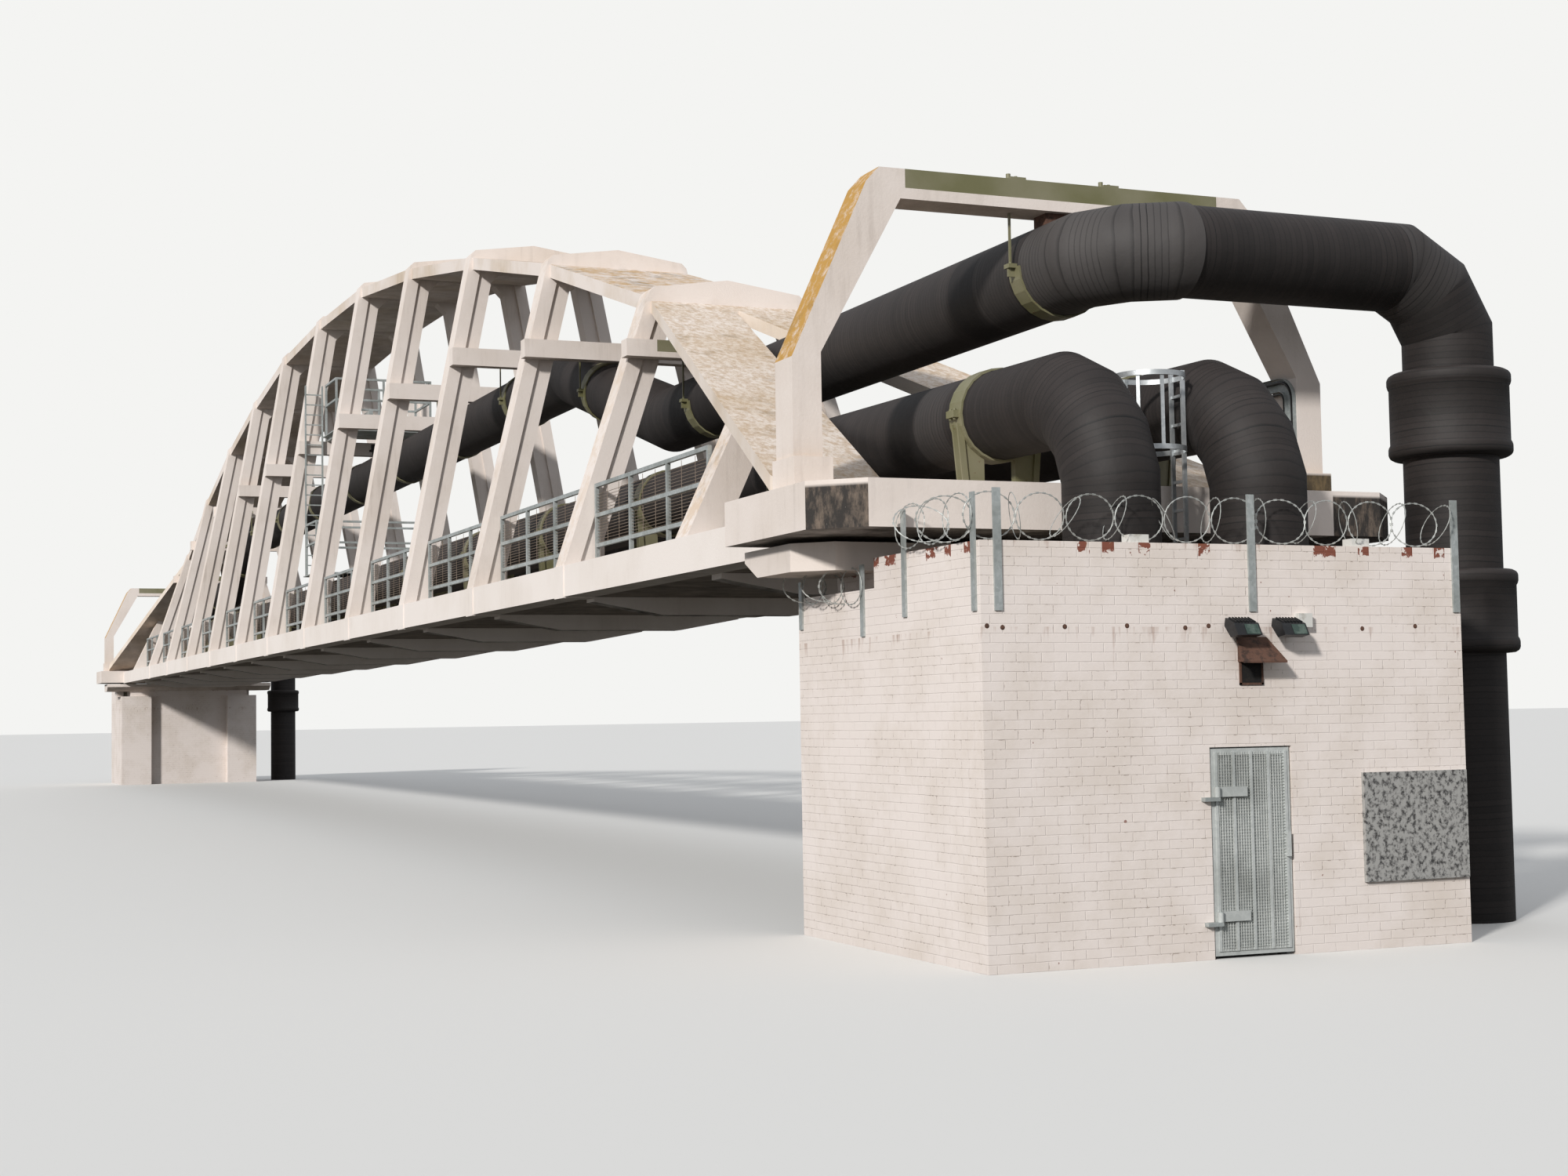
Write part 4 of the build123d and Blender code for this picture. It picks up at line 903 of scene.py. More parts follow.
@dataclass(frozen=True)
class WrappedMain:
    """A steel water main wound with tape; mitred bends, laps that follow the pipe."""

    name: str
    node: str
    route: tuple[Point, ...]     # ends and corners in millimetres
    radius: float
    bend: float
    gores: int
    pale: tuple[Stretch, ...] = ()      # how pale the tape is, below nought for a fresh black band
    girth: tuple[Stretch, ...] = ()     # share of the radius
    sides: int = 64
    guard: float = 30.0                 # a mitre's edge is rounded over this to each side
    joint: float = 0.12                 # how much darker the tape is at a mitre

    def stations(self) -> tuple[list[Vector], dict[str, list]]:
        """Points along the pipe with what the recipe needs to know at each.

        Returns:
            The points, and lists of the run, paleness, share of the radius and mitre lean at each.
        """
        route = mitre_route([at(*p) for p in self.route], self.bend * MM, self.gores)
        runs = [0.0]
        for a, b in zip(route, route[1:]):
            runs.append(runs[-1] + (b - a).length)

        def run_of(place: Point) -> float:
            """Distance along the pipe of the point nearest to a place."""
            target = at(*place)
            best = (math.inf, 0.0)
            for a, b, run in zip(route, route[1:], runs):
                share = min(max((target - a).dot(b - a) / (b - a).length_squared, 0.0), 1.0)
                best = min(best, ((a.lerp(b, share) - target).length, run + share * (b - a).length))
            return best[1]

        pale = [(*sorted((run_of(s.start), run_of(s.end))), s.value) for s in self.pale]
        girth = [(*sorted((run_of(s.start), run_of(s.end))), s.value) for s in self.girth]
        marks = set(runs) | {run + side * self.guard * MM for run in runs[1:-1] for side in (-1, 1)}
        for start, end, _ in pale + girth:
            marks |= {start - MM, start + MM, end - MM, end + MM}
        marks = sorted(m for m in marks if 0.0 <= m <= runs[-1])
        kept = [m for i, m in enumerate(marks) if i == 0 or m - marks[i - 1] > 0.2 * MM]
        points, values = [], {"run": kept, "band": [], "girth": [], "lean": []}
        for mark in kept:
            leg = max(i for i in range(len(route) - 1) if runs[i] <= mark + 1e-9)
            share = (mark - runs[leg]) / (runs[leg + 1] - runs[leg])
            points.append(route[leg].lerp(route[leg + 1], share))
            tone = sum(v for a, b, v in pale if a <= mark <= b)
            values["girth"].append(next((v for a, b, v in girth if a <= mark <= b), 1.0))
            lean = Vector((0.0, 0.0, 0.0))
            if share < 1e-6 and leg > 0:
                before = (route[leg] - route[leg - 1]).normalized()
                after = (route[leg + 1] - route[leg]).normalized()
                lean = (after - before).normalized() * math.sqrt(1 / math.cos(before.angle(after) / 2) - 1)
                tone -= self.joint
            values["band"].append(tone)
            values["lean"].append(lean)
        return points, values

    def build(self) -> bpy.types.Object:
        """Sweep the pipe with a Geometry Nodes tree and dress it.

        Returns:
            The pipe, which stands for its CAD node.
        """
        points, values = self.stations()
        carrier = bpy.data.meshes.new("route")
        carrier.from_pydata([tuple(p) for p in points], [(i, i + 1) for i in range(len(points) - 1)], [])
        for name in ("run", "band", "girth"):
            carrier.attributes.new(name, "FLOAT", "POINT").data.foreach_set("value", values[name])
        lean = carrier.attributes.new("lean", "FLOAT_VECTOR", "POINT")
        lean.data.foreach_set("vector", [c for v in values["lean"] for c in v])
        recipe = Recipe(self.name)
        radius = recipe.size("Pipe Radius", self.radius * MM)
        sides = recipe.size("Sides", self.sides)
        line = recipe.add("MeshToCurve", {"Mesh": recipe.carrier})
        here = recipe.add("InputPosition")
        marked = recipe.add("StoreNamedAttribute", {"Geometry": line, "Name": "centre", "Value": here},
                            data_type="FLOAT_VECTOR", domain="POINT")
        ring = recipe.add("CurvePrimitiveCircle", {"Resolution": sides, "Radius": radius})
        skin = recipe.add("CurveToMesh", {"Curve": marked, "Profile Curve": ring, "Fill Caps": True})
        centre, tilt, share = [
            recipe.add("InputNamedAttribute", {"Name": name}, "Attribute", data_type=kind)
            for name, kind in (("centre", "FLOAT_VECTOR"), ("lean", "FLOAT_VECTOR"), ("girth", "FLOAT"))]
        # a mitre joint is an ellipse: its ring is drawn out along the lean
        out = recipe.add("ShaderNodeVectorMath", {0: here, 1: centre}, operation="SUBTRACT")
        along = recipe.add("ShaderNodeVectorMath", {0: out, 1: tilt}, "Value", operation="DOT_PRODUCT")
        drawn = recipe.add("ShaderNodeVectorMath", {0: tilt, "Scale": along}, operation="SCALE")
        whole = recipe.add("ShaderNodeVectorMath", {0: out, 1: drawn}, operation="ADD")
        scaled = recipe.add("ShaderNodeVectorMath", {0: whole, "Scale": share}, operation="SCALE")
        placed = recipe.add("ShaderNodeVectorMath", {0: centre, 1: scaled}, operation="ADD")
        shaped = recipe.add("SetPosition", {"Geometry": skin, "Position": placed})
        made = recipe.bake(carrier, shaped, PIPE_TAPE)
        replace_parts(made, self.node)
        return hand_over(made, Body.STRUCTURE, 50.0)


@dataclass(frozen=True)
class WireInfill:
    """Welded wire panels in the railings and on the door, in millimetres."""

    finish: Finish = OLD_WIRE
    wire: float = 1.7
    up: float = 19.0
    across: float = 225.0

    def build(self, name: str, centres: list[Vector], width: float, height: float, turn: float,
              body: Body = Body.STRUCTURE) -> bpy.types.Object:
        """Make like panels at several places.

        Args:
            name: Name of the piece.
            centres: Middles of the panels, in metres.
            width: Width of a panel in millimetres.
            height: Height of a panel in millimetres.
            turn: Turn about the vertical, in degrees; 0 runs along X.
            body: The body that carries them.

        Returns:
            One object with all the panels.
        """
        recipe = Recipe(name)
        wide = recipe.size("Width", width * MM)
        high = recipe.size("Height", height * MM)
        wire = recipe.size("Wire Radius", self.wire * MM)
        up = recipe.size("Pitch Up", self.up * MM)
        across = recipe.size("Pitch Across", self.across * MM)
        angle = recipe.size("Turn", math.radians(turn))
        section = recipe.add("CurvePrimitiveCircle", {"Resolution": 4, "Radius": wire})
        layers = []
        ways = ((wide, high, up, "X", "Z"), (high, wide, across, "Z", "X"))
        for length, spread, pitch, axis, other in ways:
            ends = []
            for half in (-0.5, 0.5):
                end = recipe.add("ShaderNodeMath", {0: length, 1: half}, operation="MULTIPLY")
                ends.append(recipe.add("ShaderNodeCombineXYZ", {axis: end}))
            rod = recipe.add("CurvePrimitiveLine", {"Start": ends[0], "End": ends[1]})
            solid = recipe.add("CurveToMesh", {"Curve": rod, "Profile Curve": section})
            count = recipe.add("ShaderNodeMath", {0: spread, 1: pitch}, operation="DIVIDE")
            start = recipe.add("ShaderNodeMath", {0: spread, 1: -0.5}, operation="MULTIPLY")
            origin, step = [recipe.add("ShaderNodeCombineXYZ", {other: value}) for value in (start, pitch)]
            row = recipe.add("MeshLine", {"Count": count, "Start Location": origin, "Offset": step})
            layers.append(recipe.add("InstanceOnPoints", {"Points": row, "Instance": solid}))
        panel = recipe.add("JoinGeometry", {"Geometry": layers})
        spin = recipe.add("ShaderNodeCombineXYZ", {"Z": angle})
        placed = recipe.add("InstanceOnPoints", {"Points": recipe.carrier, "Instance": panel,
                                                 "Rotation": spin})
        return hand_over(recipe.bake(points_mesh(centres), placed, self.finish), body)


@dataclass(frozen=True)
class Fasteners:
    """Hexagon bolts on washers, set on faces of any direction, in millimetres."""

    radius: float = 9.0
    height: float = 8.0
    washer: float = 1.7             # how much wider than the head
    washer_share: float = 0.3       # how thick, as a share of the head's height

    def build(self, name: str, points: list[Vector], facing: list[Vector], finish: Finish, slot: Slot,
              body: Body = Body.STRUCTURE) -> bpy.types.Object:
        """Set one bolt at each point.

        Args:
            name: Name of the piece.
            points: Places of the bolts, in metres.
            facing: Direction in which each head points.
            finish: Finish of the bolts.
            slot: The record's slot; not used.
            body: The body that carries them.

        Returns:
            One object with all the bolts.
        """
        recipe = Recipe(name)
        radius = recipe.size("Head Radius", self.radius * MM)
        height = recipe.size("Head Height", self.height * MM)
        wide, thin, middle = [
            recipe.add("ShaderNodeMath", {0: size, 1: share}, operation="MULTIPLY")
            for size, share in ((radius, self.washer), (height, self.washer_share), (height, 0.5))]
        head = recipe.add("MeshCylinder", {"Vertices": 6, "Radius": radius, "Depth": height})
        lift = recipe.add("ShaderNodeCombineXYZ", {"Z": middle})
        head = recipe.add("Transform", {"Geometry": head, "Translation": lift})
        washer = recipe.add("MeshCylinder", {"Vertices": 12, "Radius": wide, "Depth": thin})
        bolt = recipe.add("JoinGeometry", {"Geometry": [head, washer]})
        aim = recipe.add("InputNamedAttribute", {"Name": "facing"}, "Attribute", data_type="FLOAT_VECTOR")
        turn = recipe.add("FunctionNodeAlignRotationToVector", {"Vector": aim}, axis="Z")
        placed = recipe.add("InstanceOnPoints", {"Points": recipe.carrier, "Instance": bolt,
                                                 "Rotation": turn})
        return hand_over(recipe.bake(points_mesh(points, facing), placed, finish), body)


@dataclass(frozen=True)
class RazorCoil:
    """Barbed tape clipped into flat loops along a line; every other loop is swung out of the row.

    Sizes are in millimetres and angles in degrees.
    """

    radius: float = 93.0
    pitch: float = 112.0
    wire: float = 1.7
    barb: Point = (13.0, 7.0, 0.8)
    barb_every: float = 27.0
    stretch: float = 1.25           # loops are this much wider than high
    swing: float = 72.0
    slack: float = 9.0
    seed: int = 11
    sides: int = 26

    def build(self, name: str, start: Vector, end: Vector) -> bpy.types.Object:
        """Hang loops between two points.

        Args:
            name: Name of the piece.
            start: First end of the row, in metres.
            end: Other end of the row.

        Returns:
            The row of loops.
        """
        length = (end - start).length - 2 * self.radius * MM
        count = round(length / (self.pitch * MM)) + 1
        recipe = Recipe(name)
        radius = recipe.size("Loop Radius", self.radius * MM)
        number = recipe.size("Loops", count)
        step = recipe.size("Pitch", length / (count - 1))
        wire = recipe.size("Wire Radius", self.wire * MM)
        every = recipe.size("Barb Spacing", self.barb_every * MM)
        swing = recipe.size("Swing", math.radians(self.swing))
        slack = recipe.size("Slack", math.radians(self.slack))
        seed = recipe.size("Seed", self.seed)
        stretch = recipe.size("Stretch", self.stretch)
        section = recipe.add("CurvePrimitiveCircle", {"Resolution": 4, "Radius": wire})
        loop = recipe.add("CurvePrimitiveCircle", {"Resolution": self.sides, "Radius": radius})
        tape = recipe.add("CurveToMesh", {"Curve": loop, "Profile Curve": section})
        spots = recipe.add("CurveToPoints", {"Curve": loop, "Length": every}, mode="LENGTH")
        barb = recipe.add("MeshCube", {"Size": Vector(self.barb) * MM})
        turned = recipe.add("FunctionNodeAlignRotationToVector", {"Vector": spots.node.outputs["Tangent"]},
                            axis="X")
        barbs = recipe.add("InstanceOnPoints", {"Points": spots, "Instance": barb, "Rotation": turned})
        joined = recipe.add("JoinGeometry", {"Geometry": [tape, barbs]})
        wide = recipe.add("ShaderNodeCombineXYZ", {"X": stretch, "Y": 1.0, "Z": 1.0})
        whole = recipe.add("Transform", {"Geometry": joined, "Scale": wide})
        stride = recipe.add("ShaderNodeCombineXYZ", {"X": step})
        row = recipe.add("MeshLine", {"Count": number, "Offset": stride})
        index = recipe.add("InputIndex")
        odd = recipe.add("ShaderNodeMath", {0: index, 1: 2.0}, operation="MODULO")
        minus = recipe.add("ShaderNodeMath", {0: slack, 1: -1.0}, operation="MULTIPLY")
        lean = recipe.add("FunctionNodeRandomValue", {2: minus, 3: slack, "Seed": seed}, 1, data_type="FLOAT")
        sway = recipe.add("ShaderNodeMath", {0: odd, 1: swing, 2: lean}, operation="MULTIPLY_ADD")
        # the loops that are swung out also hang more crookedly
        crooked = recipe.add("ShaderNodeMath", {0: odd, 1: 3.0, 2: 1.0}, operation="MULTIPLY_ADD")
        upright = recipe.add("ShaderNodeMath", {0: lean, 1: crooked, 2: math.pi / 2},
                             operation="MULTIPLY_ADD")
        pose = recipe.add("ShaderNodeCombineXYZ", {"X": upright, "Z": sway})
        hung = recipe.add("InstanceOnPoints", {"Points": row, "Instance": whole, "Rotation": pose})
        made = recipe.bake(points_mesh([Vector()]), hung, WIRE_ZINC)
        line = (end - start).normalized()
        lie = line.to_track_quat("X", "Z").to_matrix().to_4x4()
        made.data.transform(Matrix.Translation(start + line * self.radius * MM) @ lie)
        return hand_over(made, Body.STRUCTURE)


@dataclass(frozen=True)
class Sleeves:
    """Coupling sleeves on the upper pipe's drops, wrapped over rounded end rings, in millimetres."""

    pipe: float = 219.0
    lip: float = 285.0
    spans: tuple[tuple[float, float], ...] = ((2170.0, 2585.0), (1245.0, 1640.0))
    # an end's outline: how far inside the lip, and how far from the end
    outline: tuple[tuple[float, float], ...] = ((23.0, 4.0), (9.0, 12.0), (3.0, 20.0), (0.0, 30.0),
                                                (0.0, 54.0), (3.0, 66.0), (9.0, 76.0))

    def build(self) -> bpy.types.Object:
        """Turn the sleeves of both ends in one piece."""
        stock = Stock()
        for end in End:
            for low, high in self.spans:
                top = [(self.pipe, high)]
                top += [(self.lip - inside, high - down) for inside, down in self.outline]
                foot = [(radius, low + high - z) for radius, z in top]
                stock.lathe(at(end.value * DROP_X, DROP_Y, 0), foot + top[::-1])
        made = stock.piece("coupling_sleeves", SLEEVE_TAPE, Body.STRUCTURE, Slot.WRAP, 40.0)
        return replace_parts(made, "sleeves")


@dataclass(frozen=True)
class ChamberWall:
    """The vent's opening, a dark block of painted shade, and the row of plugs in the near chamber's outer
    wall, in millimetres.
    """

    vent_y: tuple[float, float] = (22.0, 136.0)
    vent_z: tuple[float, float] = (1100.0, 1200.0)
    rim: float = 9.0
    rim_proud: float = 7.0
    hole_proud: float = 4.0
    unlevel: float = 6.0            # the plugs wander this far from their row
    plugs: tuple[float, ...] = (-1130.0, -1062.0, -785.0, -501.0, -229.0, -118.0, 640.0, 913.0)

    def build(self) -> None:
        """Make the pieces of the wall."""
        (left, right), (foot, top) = self.vent_y, self.vent_z
        hole, rim = Stock(), Stock()
        inset = self.rim - 1
        # the opening is a near-black block laid on the wall: painted shade, not a hole
        hole.block(at(SHELL_X - 1, left + inset, foot + inset),
                   at(SHELL_X + self.hole_proud, right - inset, top - inset))
        hole.piece("vent_hole", DARK_HOLE, Body.STRUCTURE, Slot.RUST)
        for y0, y1, z0, z1 in ((left, right, foot, foot + self.rim), (left, right, top - self.rim, top),
                               (left, left + self.rim, foot, top), (right - self.rim, right, foot, top)):
            rim.block(at(SHELL_X - 1, y0, z0), at(SHELL_X + self.rim_proud, y1, z1))
        rim.piece("vent_rim", RUSTY_STEEL, Body.STRUCTURE, Slot.RUST)
        points = [at(SHELL_X, y, PLUG_Z + self.unlevel * math.sin(y)) for y in self.plugs]
        outward = [Vector((1.0, 0.0, 0.0))] * len(points)
        Fasteners(radius=6.0, height=3.0).build("wall_plugs", points, outward, RUSTY_STEEL, Slot.RUST)


@dataclass(frozen=True)
class Door:
    """Dressing of the chamber door: wire mesh over the leaf and its vertical bars, in millimetres."""

    face_x: float = 16944.0
    y0: float = -100.0
    y1: float = 235.0
    z0: float = 30.0
    z1: float = 830.0
    bars: int = 5
    bar_half: float = 6.0
    bar_proud: float = 6.0
    mesh_proud: float = 3.0
    infill: WireInfill = WireInfill(finish=WIRE_ZINC, wire=1.3, up=12.5, across=12.5)

    def build(self) -> None:
        """Make the mesh and the bars; both ride on the door."""
        centre = at(self.face_x + self.mesh_proud, (self.y0 + self.y1) / 2, (self.z0 + self.z1) / 2)
        self.infill.build("door_mesh", [centre], self.y1 - self.y0, self.z1 - self.z0, 90.0, Body.DOOR)
        stock = Stock()
        for i in range(self.bars):
            y = self.y0 + (self.y1 - self.y0) / (self.bars - 1) * i
            stock.block(at(self.face_x - 1, y - self.bar_half, self.z0),
                        at(self.face_x + self.bar_proud, y + self.bar_half, self.z1))
        stock.piece("door_bars", DOOR_ZINC, Body.DOOR, Slot.GALVANISED)


@dataclass(frozen=True)
class CableRun:
    """Galvanised tray and its cables, along the bridge and down the near gallows' far column.

    Sizes and places are in millimetres.
    """

    column_x: float = 15658.0       # middle of the upright part
    level: float = 2585.0           # middle of the level part
    back_y: float = 1259.0          # the tray's back, on the column's inner face
    foot: float = 2140.0
    far_x: float = 14150.0          # where it is held by the sloping plate
    plate_y: float = 1116.0         # the plate's outer edge there
    half: float = 33.0
    depth: float = 18.0
    sheet: float = 2.0
    bend: float = 85.0
    bend_steps: int = 8
    brackets: tuple[float, float] = (30.0, 95.0)        # plates on edge, from the tray's far end
    bracket_low: float = 55.0       # they lie this far below the level part's middle
    bracket_in: tuple[float, float] = (2.0, 8.0)        # how far their ends reach into tray and plate
    bracket_size: tuple[float, float] = (6.0, 60.0)
    # places of the cables: across the tray, and off its back
    cables: tuple[tuple[float, float], ...] = ((12.0, 10.0), (-46.0, 12.0))
    cable_radius: float = 7.0

    def line(self, offset: float) -> list[tuple[Vector, Vector]]:
        """Places along the tray with the direction across it.

        Args:
            offset: Distance from the tray's middle towards the outside of its bend, in millimetres.

        Returns:
            Pairs of a point on the back and the unit vector across the tray.
        """
        centre_x, centre_z = self.column_x - self.bend, self.level - self.bend
        reach = self.bend + offset
        pairs = [(at(self.column_x + offset, self.back_y, self.foot), Vector((1.0, 0.0, 0.0)))]
        for i in range(self.bend_steps + 1):
            turn = math.pi / 2 * i / self.bend_steps
            out = Vector((math.cos(turn), 0.0, math.sin(turn)))
            pairs.append((at(centre_x + reach * out.x, self.back_y, centre_z + reach * out.z), out))
        pairs.append((at(self.far_x, self.back_y, self.level + offset), UP))
        return pairs

    def strip(self, stock: Stock, offset: float, half: float, near: float, deep: float) -> None:
        """Add one flat side of the tray.

        Args:
            stock: Mesh that gets it.
            offset: Its middle, across the tray.
            half: Half its size across the tray.
            near: Distance of its back from the tray's back, towards the bridge's middle.
            deep: Its size away from the back.
        """
        back, face = [Vector((0.0, -reach * MM, 0.0)) for reach in (near, near + deep)]
        corners = ((-1, back), (1, back), (1, face), (-1, face))
        stock.skin([[point + side * out * half * MM + level for side, level in corners]
                    for point, out in self.line(offset)])

    def build(self) -> None:
        """Make the tray and its cables."""
        tray, cables = Stock(), Stock()
        self.strip(tray, 0.0, self.half, 0.0, self.sheet)
        for side in (-1, 1):
            self.strip(tray, side * (self.half - self.sheet / 2), self.sheet / 2, self.sheet, self.depth)
        z = self.level - self.bracket_low
        from_y, to_y = self.back_y + self.bracket_in[0], self.plate_y - self.bracket_in[1]
        sheet, tall = self.bracket_size
        for x in (self.far_x + reach for reach in self.brackets):
            tray.bar(at(x, from_y, z), at(x, to_y, z), sheet * MM, tall * MM, UP)
        tray.piece("cable_tray", ZINC, Body.STRUCTURE, Slot.GALVANISED)
        for offset, off_back in self.cables:
            path = [point + Vector((0.0, -off_back * MM, 0.0)) for point, _ in self.line(offset)]
            cables.tube(path, self.cable_radius * MM)
        cables.piece("tray_cables", CABLE_BLACK, Body.STRUCTURE, Slot.BLACK_PLASTIC)


@dataclass(frozen=True)
class PipeClamps:
    """Bolts and stiffeners of the straps on all three mains, in millimetres."""

    strap_x: float = 100.0          # straps sit this far behind a frame
    head_x: float = 15650.0
    hung_x: float = 15597.5         # the strap under each gallows
    deck: float = 1865.0
    head: float = 1990.0
    lug: float = 22.0               # a strap's lug stands this far off the pipe
    lug_rise: float = 16.0          # its bolts' heads lie this far above and below the joint
    lug_step: float = 20.0          # its two bolts, to each side of its middle
    foot_y: float = 150.0           # the foot's bolts, off the pipe's middle
    foot_rise: float = 12.0
    foot_step: float = 50.0
    rib_step: float = 26.0          # stiffeners run down each side of the cradle's arm
    rib_low: tuple[float, float] = (176.0, 11.0)        # off the pipe's middle, above the floor
    rib_high: tuple[float, float] = (205.0, 44.0)       # off the pipe's middle, below it
    rib_size: tuple[float, float] = (10.0, 30.0)
    block_half: float = 30.0        # a block on top of each strap joins its halves
    block_y: tuple[float, float] = (40.0, 74.0)         # off the pipe's middle
    block_rise: tuple[float, float] = (1.0, 16.0)       # above the pipe
    hung_lug: float = 28.0
    hung_rise: tuple[float, float] = (14.0, -6.0)
    rod_z: float = 3472.0           # the hung strap's rods end here
    rod_step: float = 70.0

    @staticmethod
    def pair_z(x: float) -> float:
        """Height of the lower mains' middle, in millimetres."""
        start = frame_x(-1)
        return PAIR_Z - (PAIR_Z - PAIR_END_Z) * max(0.0, abs(x) - start) / (PAIR_X - start)

    @staticmethod
    def upper_z(x: float) -> float:
        """Height of the upper main's middle, in millimetres."""
        start, end = SLOPE_X
        return UPPER_Z - (UPPER_Z - UPPER_END_Z) * min(max((abs(x) - start) / (end - start), 0.0), 1.0)

    def cradles(self) -> list[tuple[float, float]]:
        """X and floor height of the cradles of one lower main."""
        places = [(frame_x(n) - self.strap_x, self.deck) for n in range(-1, FRAMES + 1)]
        return places + [(side * self.head_x, self.head) for side in (-1, 1)]

    def build(self) -> None:
        """Make bolts, clamp blocks and cradle stiffeners."""
        bolts, steel = [], Stock()
        (low_y, low), (high_y, high) = self.rib_low, self.rib_high
        wide, deep = self.rib_size
        (near_y, far_y), (foot, top) = self.block_y, self.block_rise
        for x, floor in self.cradles():
            z = self.pair_z(x)
            for y in (-PAIR_Y, PAIR_Y):
                for side in (-1, 1):
                    for step in (-self.lug_step, self.lug_step):
                        lug_y = y + side * (PAIR_R + self.lug)
                        bolts += [(at(x + step, lug_y, z + way * self.lug_rise), way * UP) for way in (1, -1)]
                    for step in (-self.foot_step, self.foot_step):
                        bolts.append((at(x + step, y + side * self.foot_y, floor + self.foot_rise), UP))
                    for step in (-self.rib_step, self.rib_step):
                        start = at(x + step, y + side * low_y, floor + low)
                        end = at(x + step, y + side * high_y, z - high)
                        steel.bar(start, end, wide * MM, deep * MM, Vector((0.0, 1.0, 0.0)))
                # the strap's halves are bolted together on top as well
                steel.block(at(x - self.block_half, y + near_y, z + PAIR_R + foot),
                            at(x + self.block_half, y + far_y, z + PAIR_R + top))
        straps = [frame_x(n) - (1 if n < FRAMES - 3 else -1) * self.strap_x for n in range(FRAMES)]
        over, under = self.hung_rise
        for x in straps + [-self.hung_x, self.hung_x]:
            for y in (-UPPER_R - self.hung_lug, UPPER_R + self.hung_lug):
                z = self.upper_z(x)
                bolts += [(at(x, y, z + over), UP), (at(x, y, z + under), -UP)]
                if abs(x) == self.hung_x:
                    bolts += [(at(x + step, y, self.rod_z), UP) for step in (-self.rod_step, self.rod_step)]
        steel.piece("clamp_steel", OLIVE_STEEL, Body.STRUCTURE, Slot.OLIVE)
        points, facing = [list(part) for part in zip(*bolts)]
        Fasteners(radius=8.0, height=9.0).build("clamp_bolts", points, facing, OLIVE_STEEL, Slot.OLIVE)


@dataclass(frozen=True)
class LampGlass:
    """Glass and cooling fins of the two floodlights over the door.

    Sizes are in millimetres, and places are distance off the wall and height.
    """

    lamps: tuple[float, ...] = (-58.0, 170.0)
    pane_y: tuple[float, float] = (46.0, 110.0)
    pane: tuple[tuple[float, float], ...] = ((94.0, 1343.0), (116.5, 1303.0), (118.0, 1304.0), (96.0, 1344.0))
    fins: int = 7
    fin_y: float = 14.0
    fin_pitch: float = 15.0
    fin: tuple[tuple[float, float], ...] = ((36.0, 1371.0), (88.0, 1351.0))
    fin_size: tuple[float, float] = (3.0, 12.0)

    def build(self) -> None:
        """Lay a pane on the outer face of each lamp, and cooling fins on its back."""
        glass, fins = Stock(), Stock()
        thick, deep = self.fin_size
        for lamp in self.lamps:
            glass.skin([[at(SHELL_X + out, lamp + y, z) for out, z in self.pane] for y in self.pane_y])
            for i in range(self.fins):
                y = lamp + self.fin_y + self.fin_pitch * i
                start, end = [at(SHELL_X + out, y, z) for out, z in self.fin]
                fins.bar(start, end, thick * MM, deep * MM, UP)
        glass.piece("lamp_glass", LAMP_GLASS, Body.STRUCTURE, Slot.BLACK_PLASTIC)
        fins.piece("lamp_fins", BLACK_PLASTIC, Body.STRUCTURE, Slot.BLACK_PLASTIC)


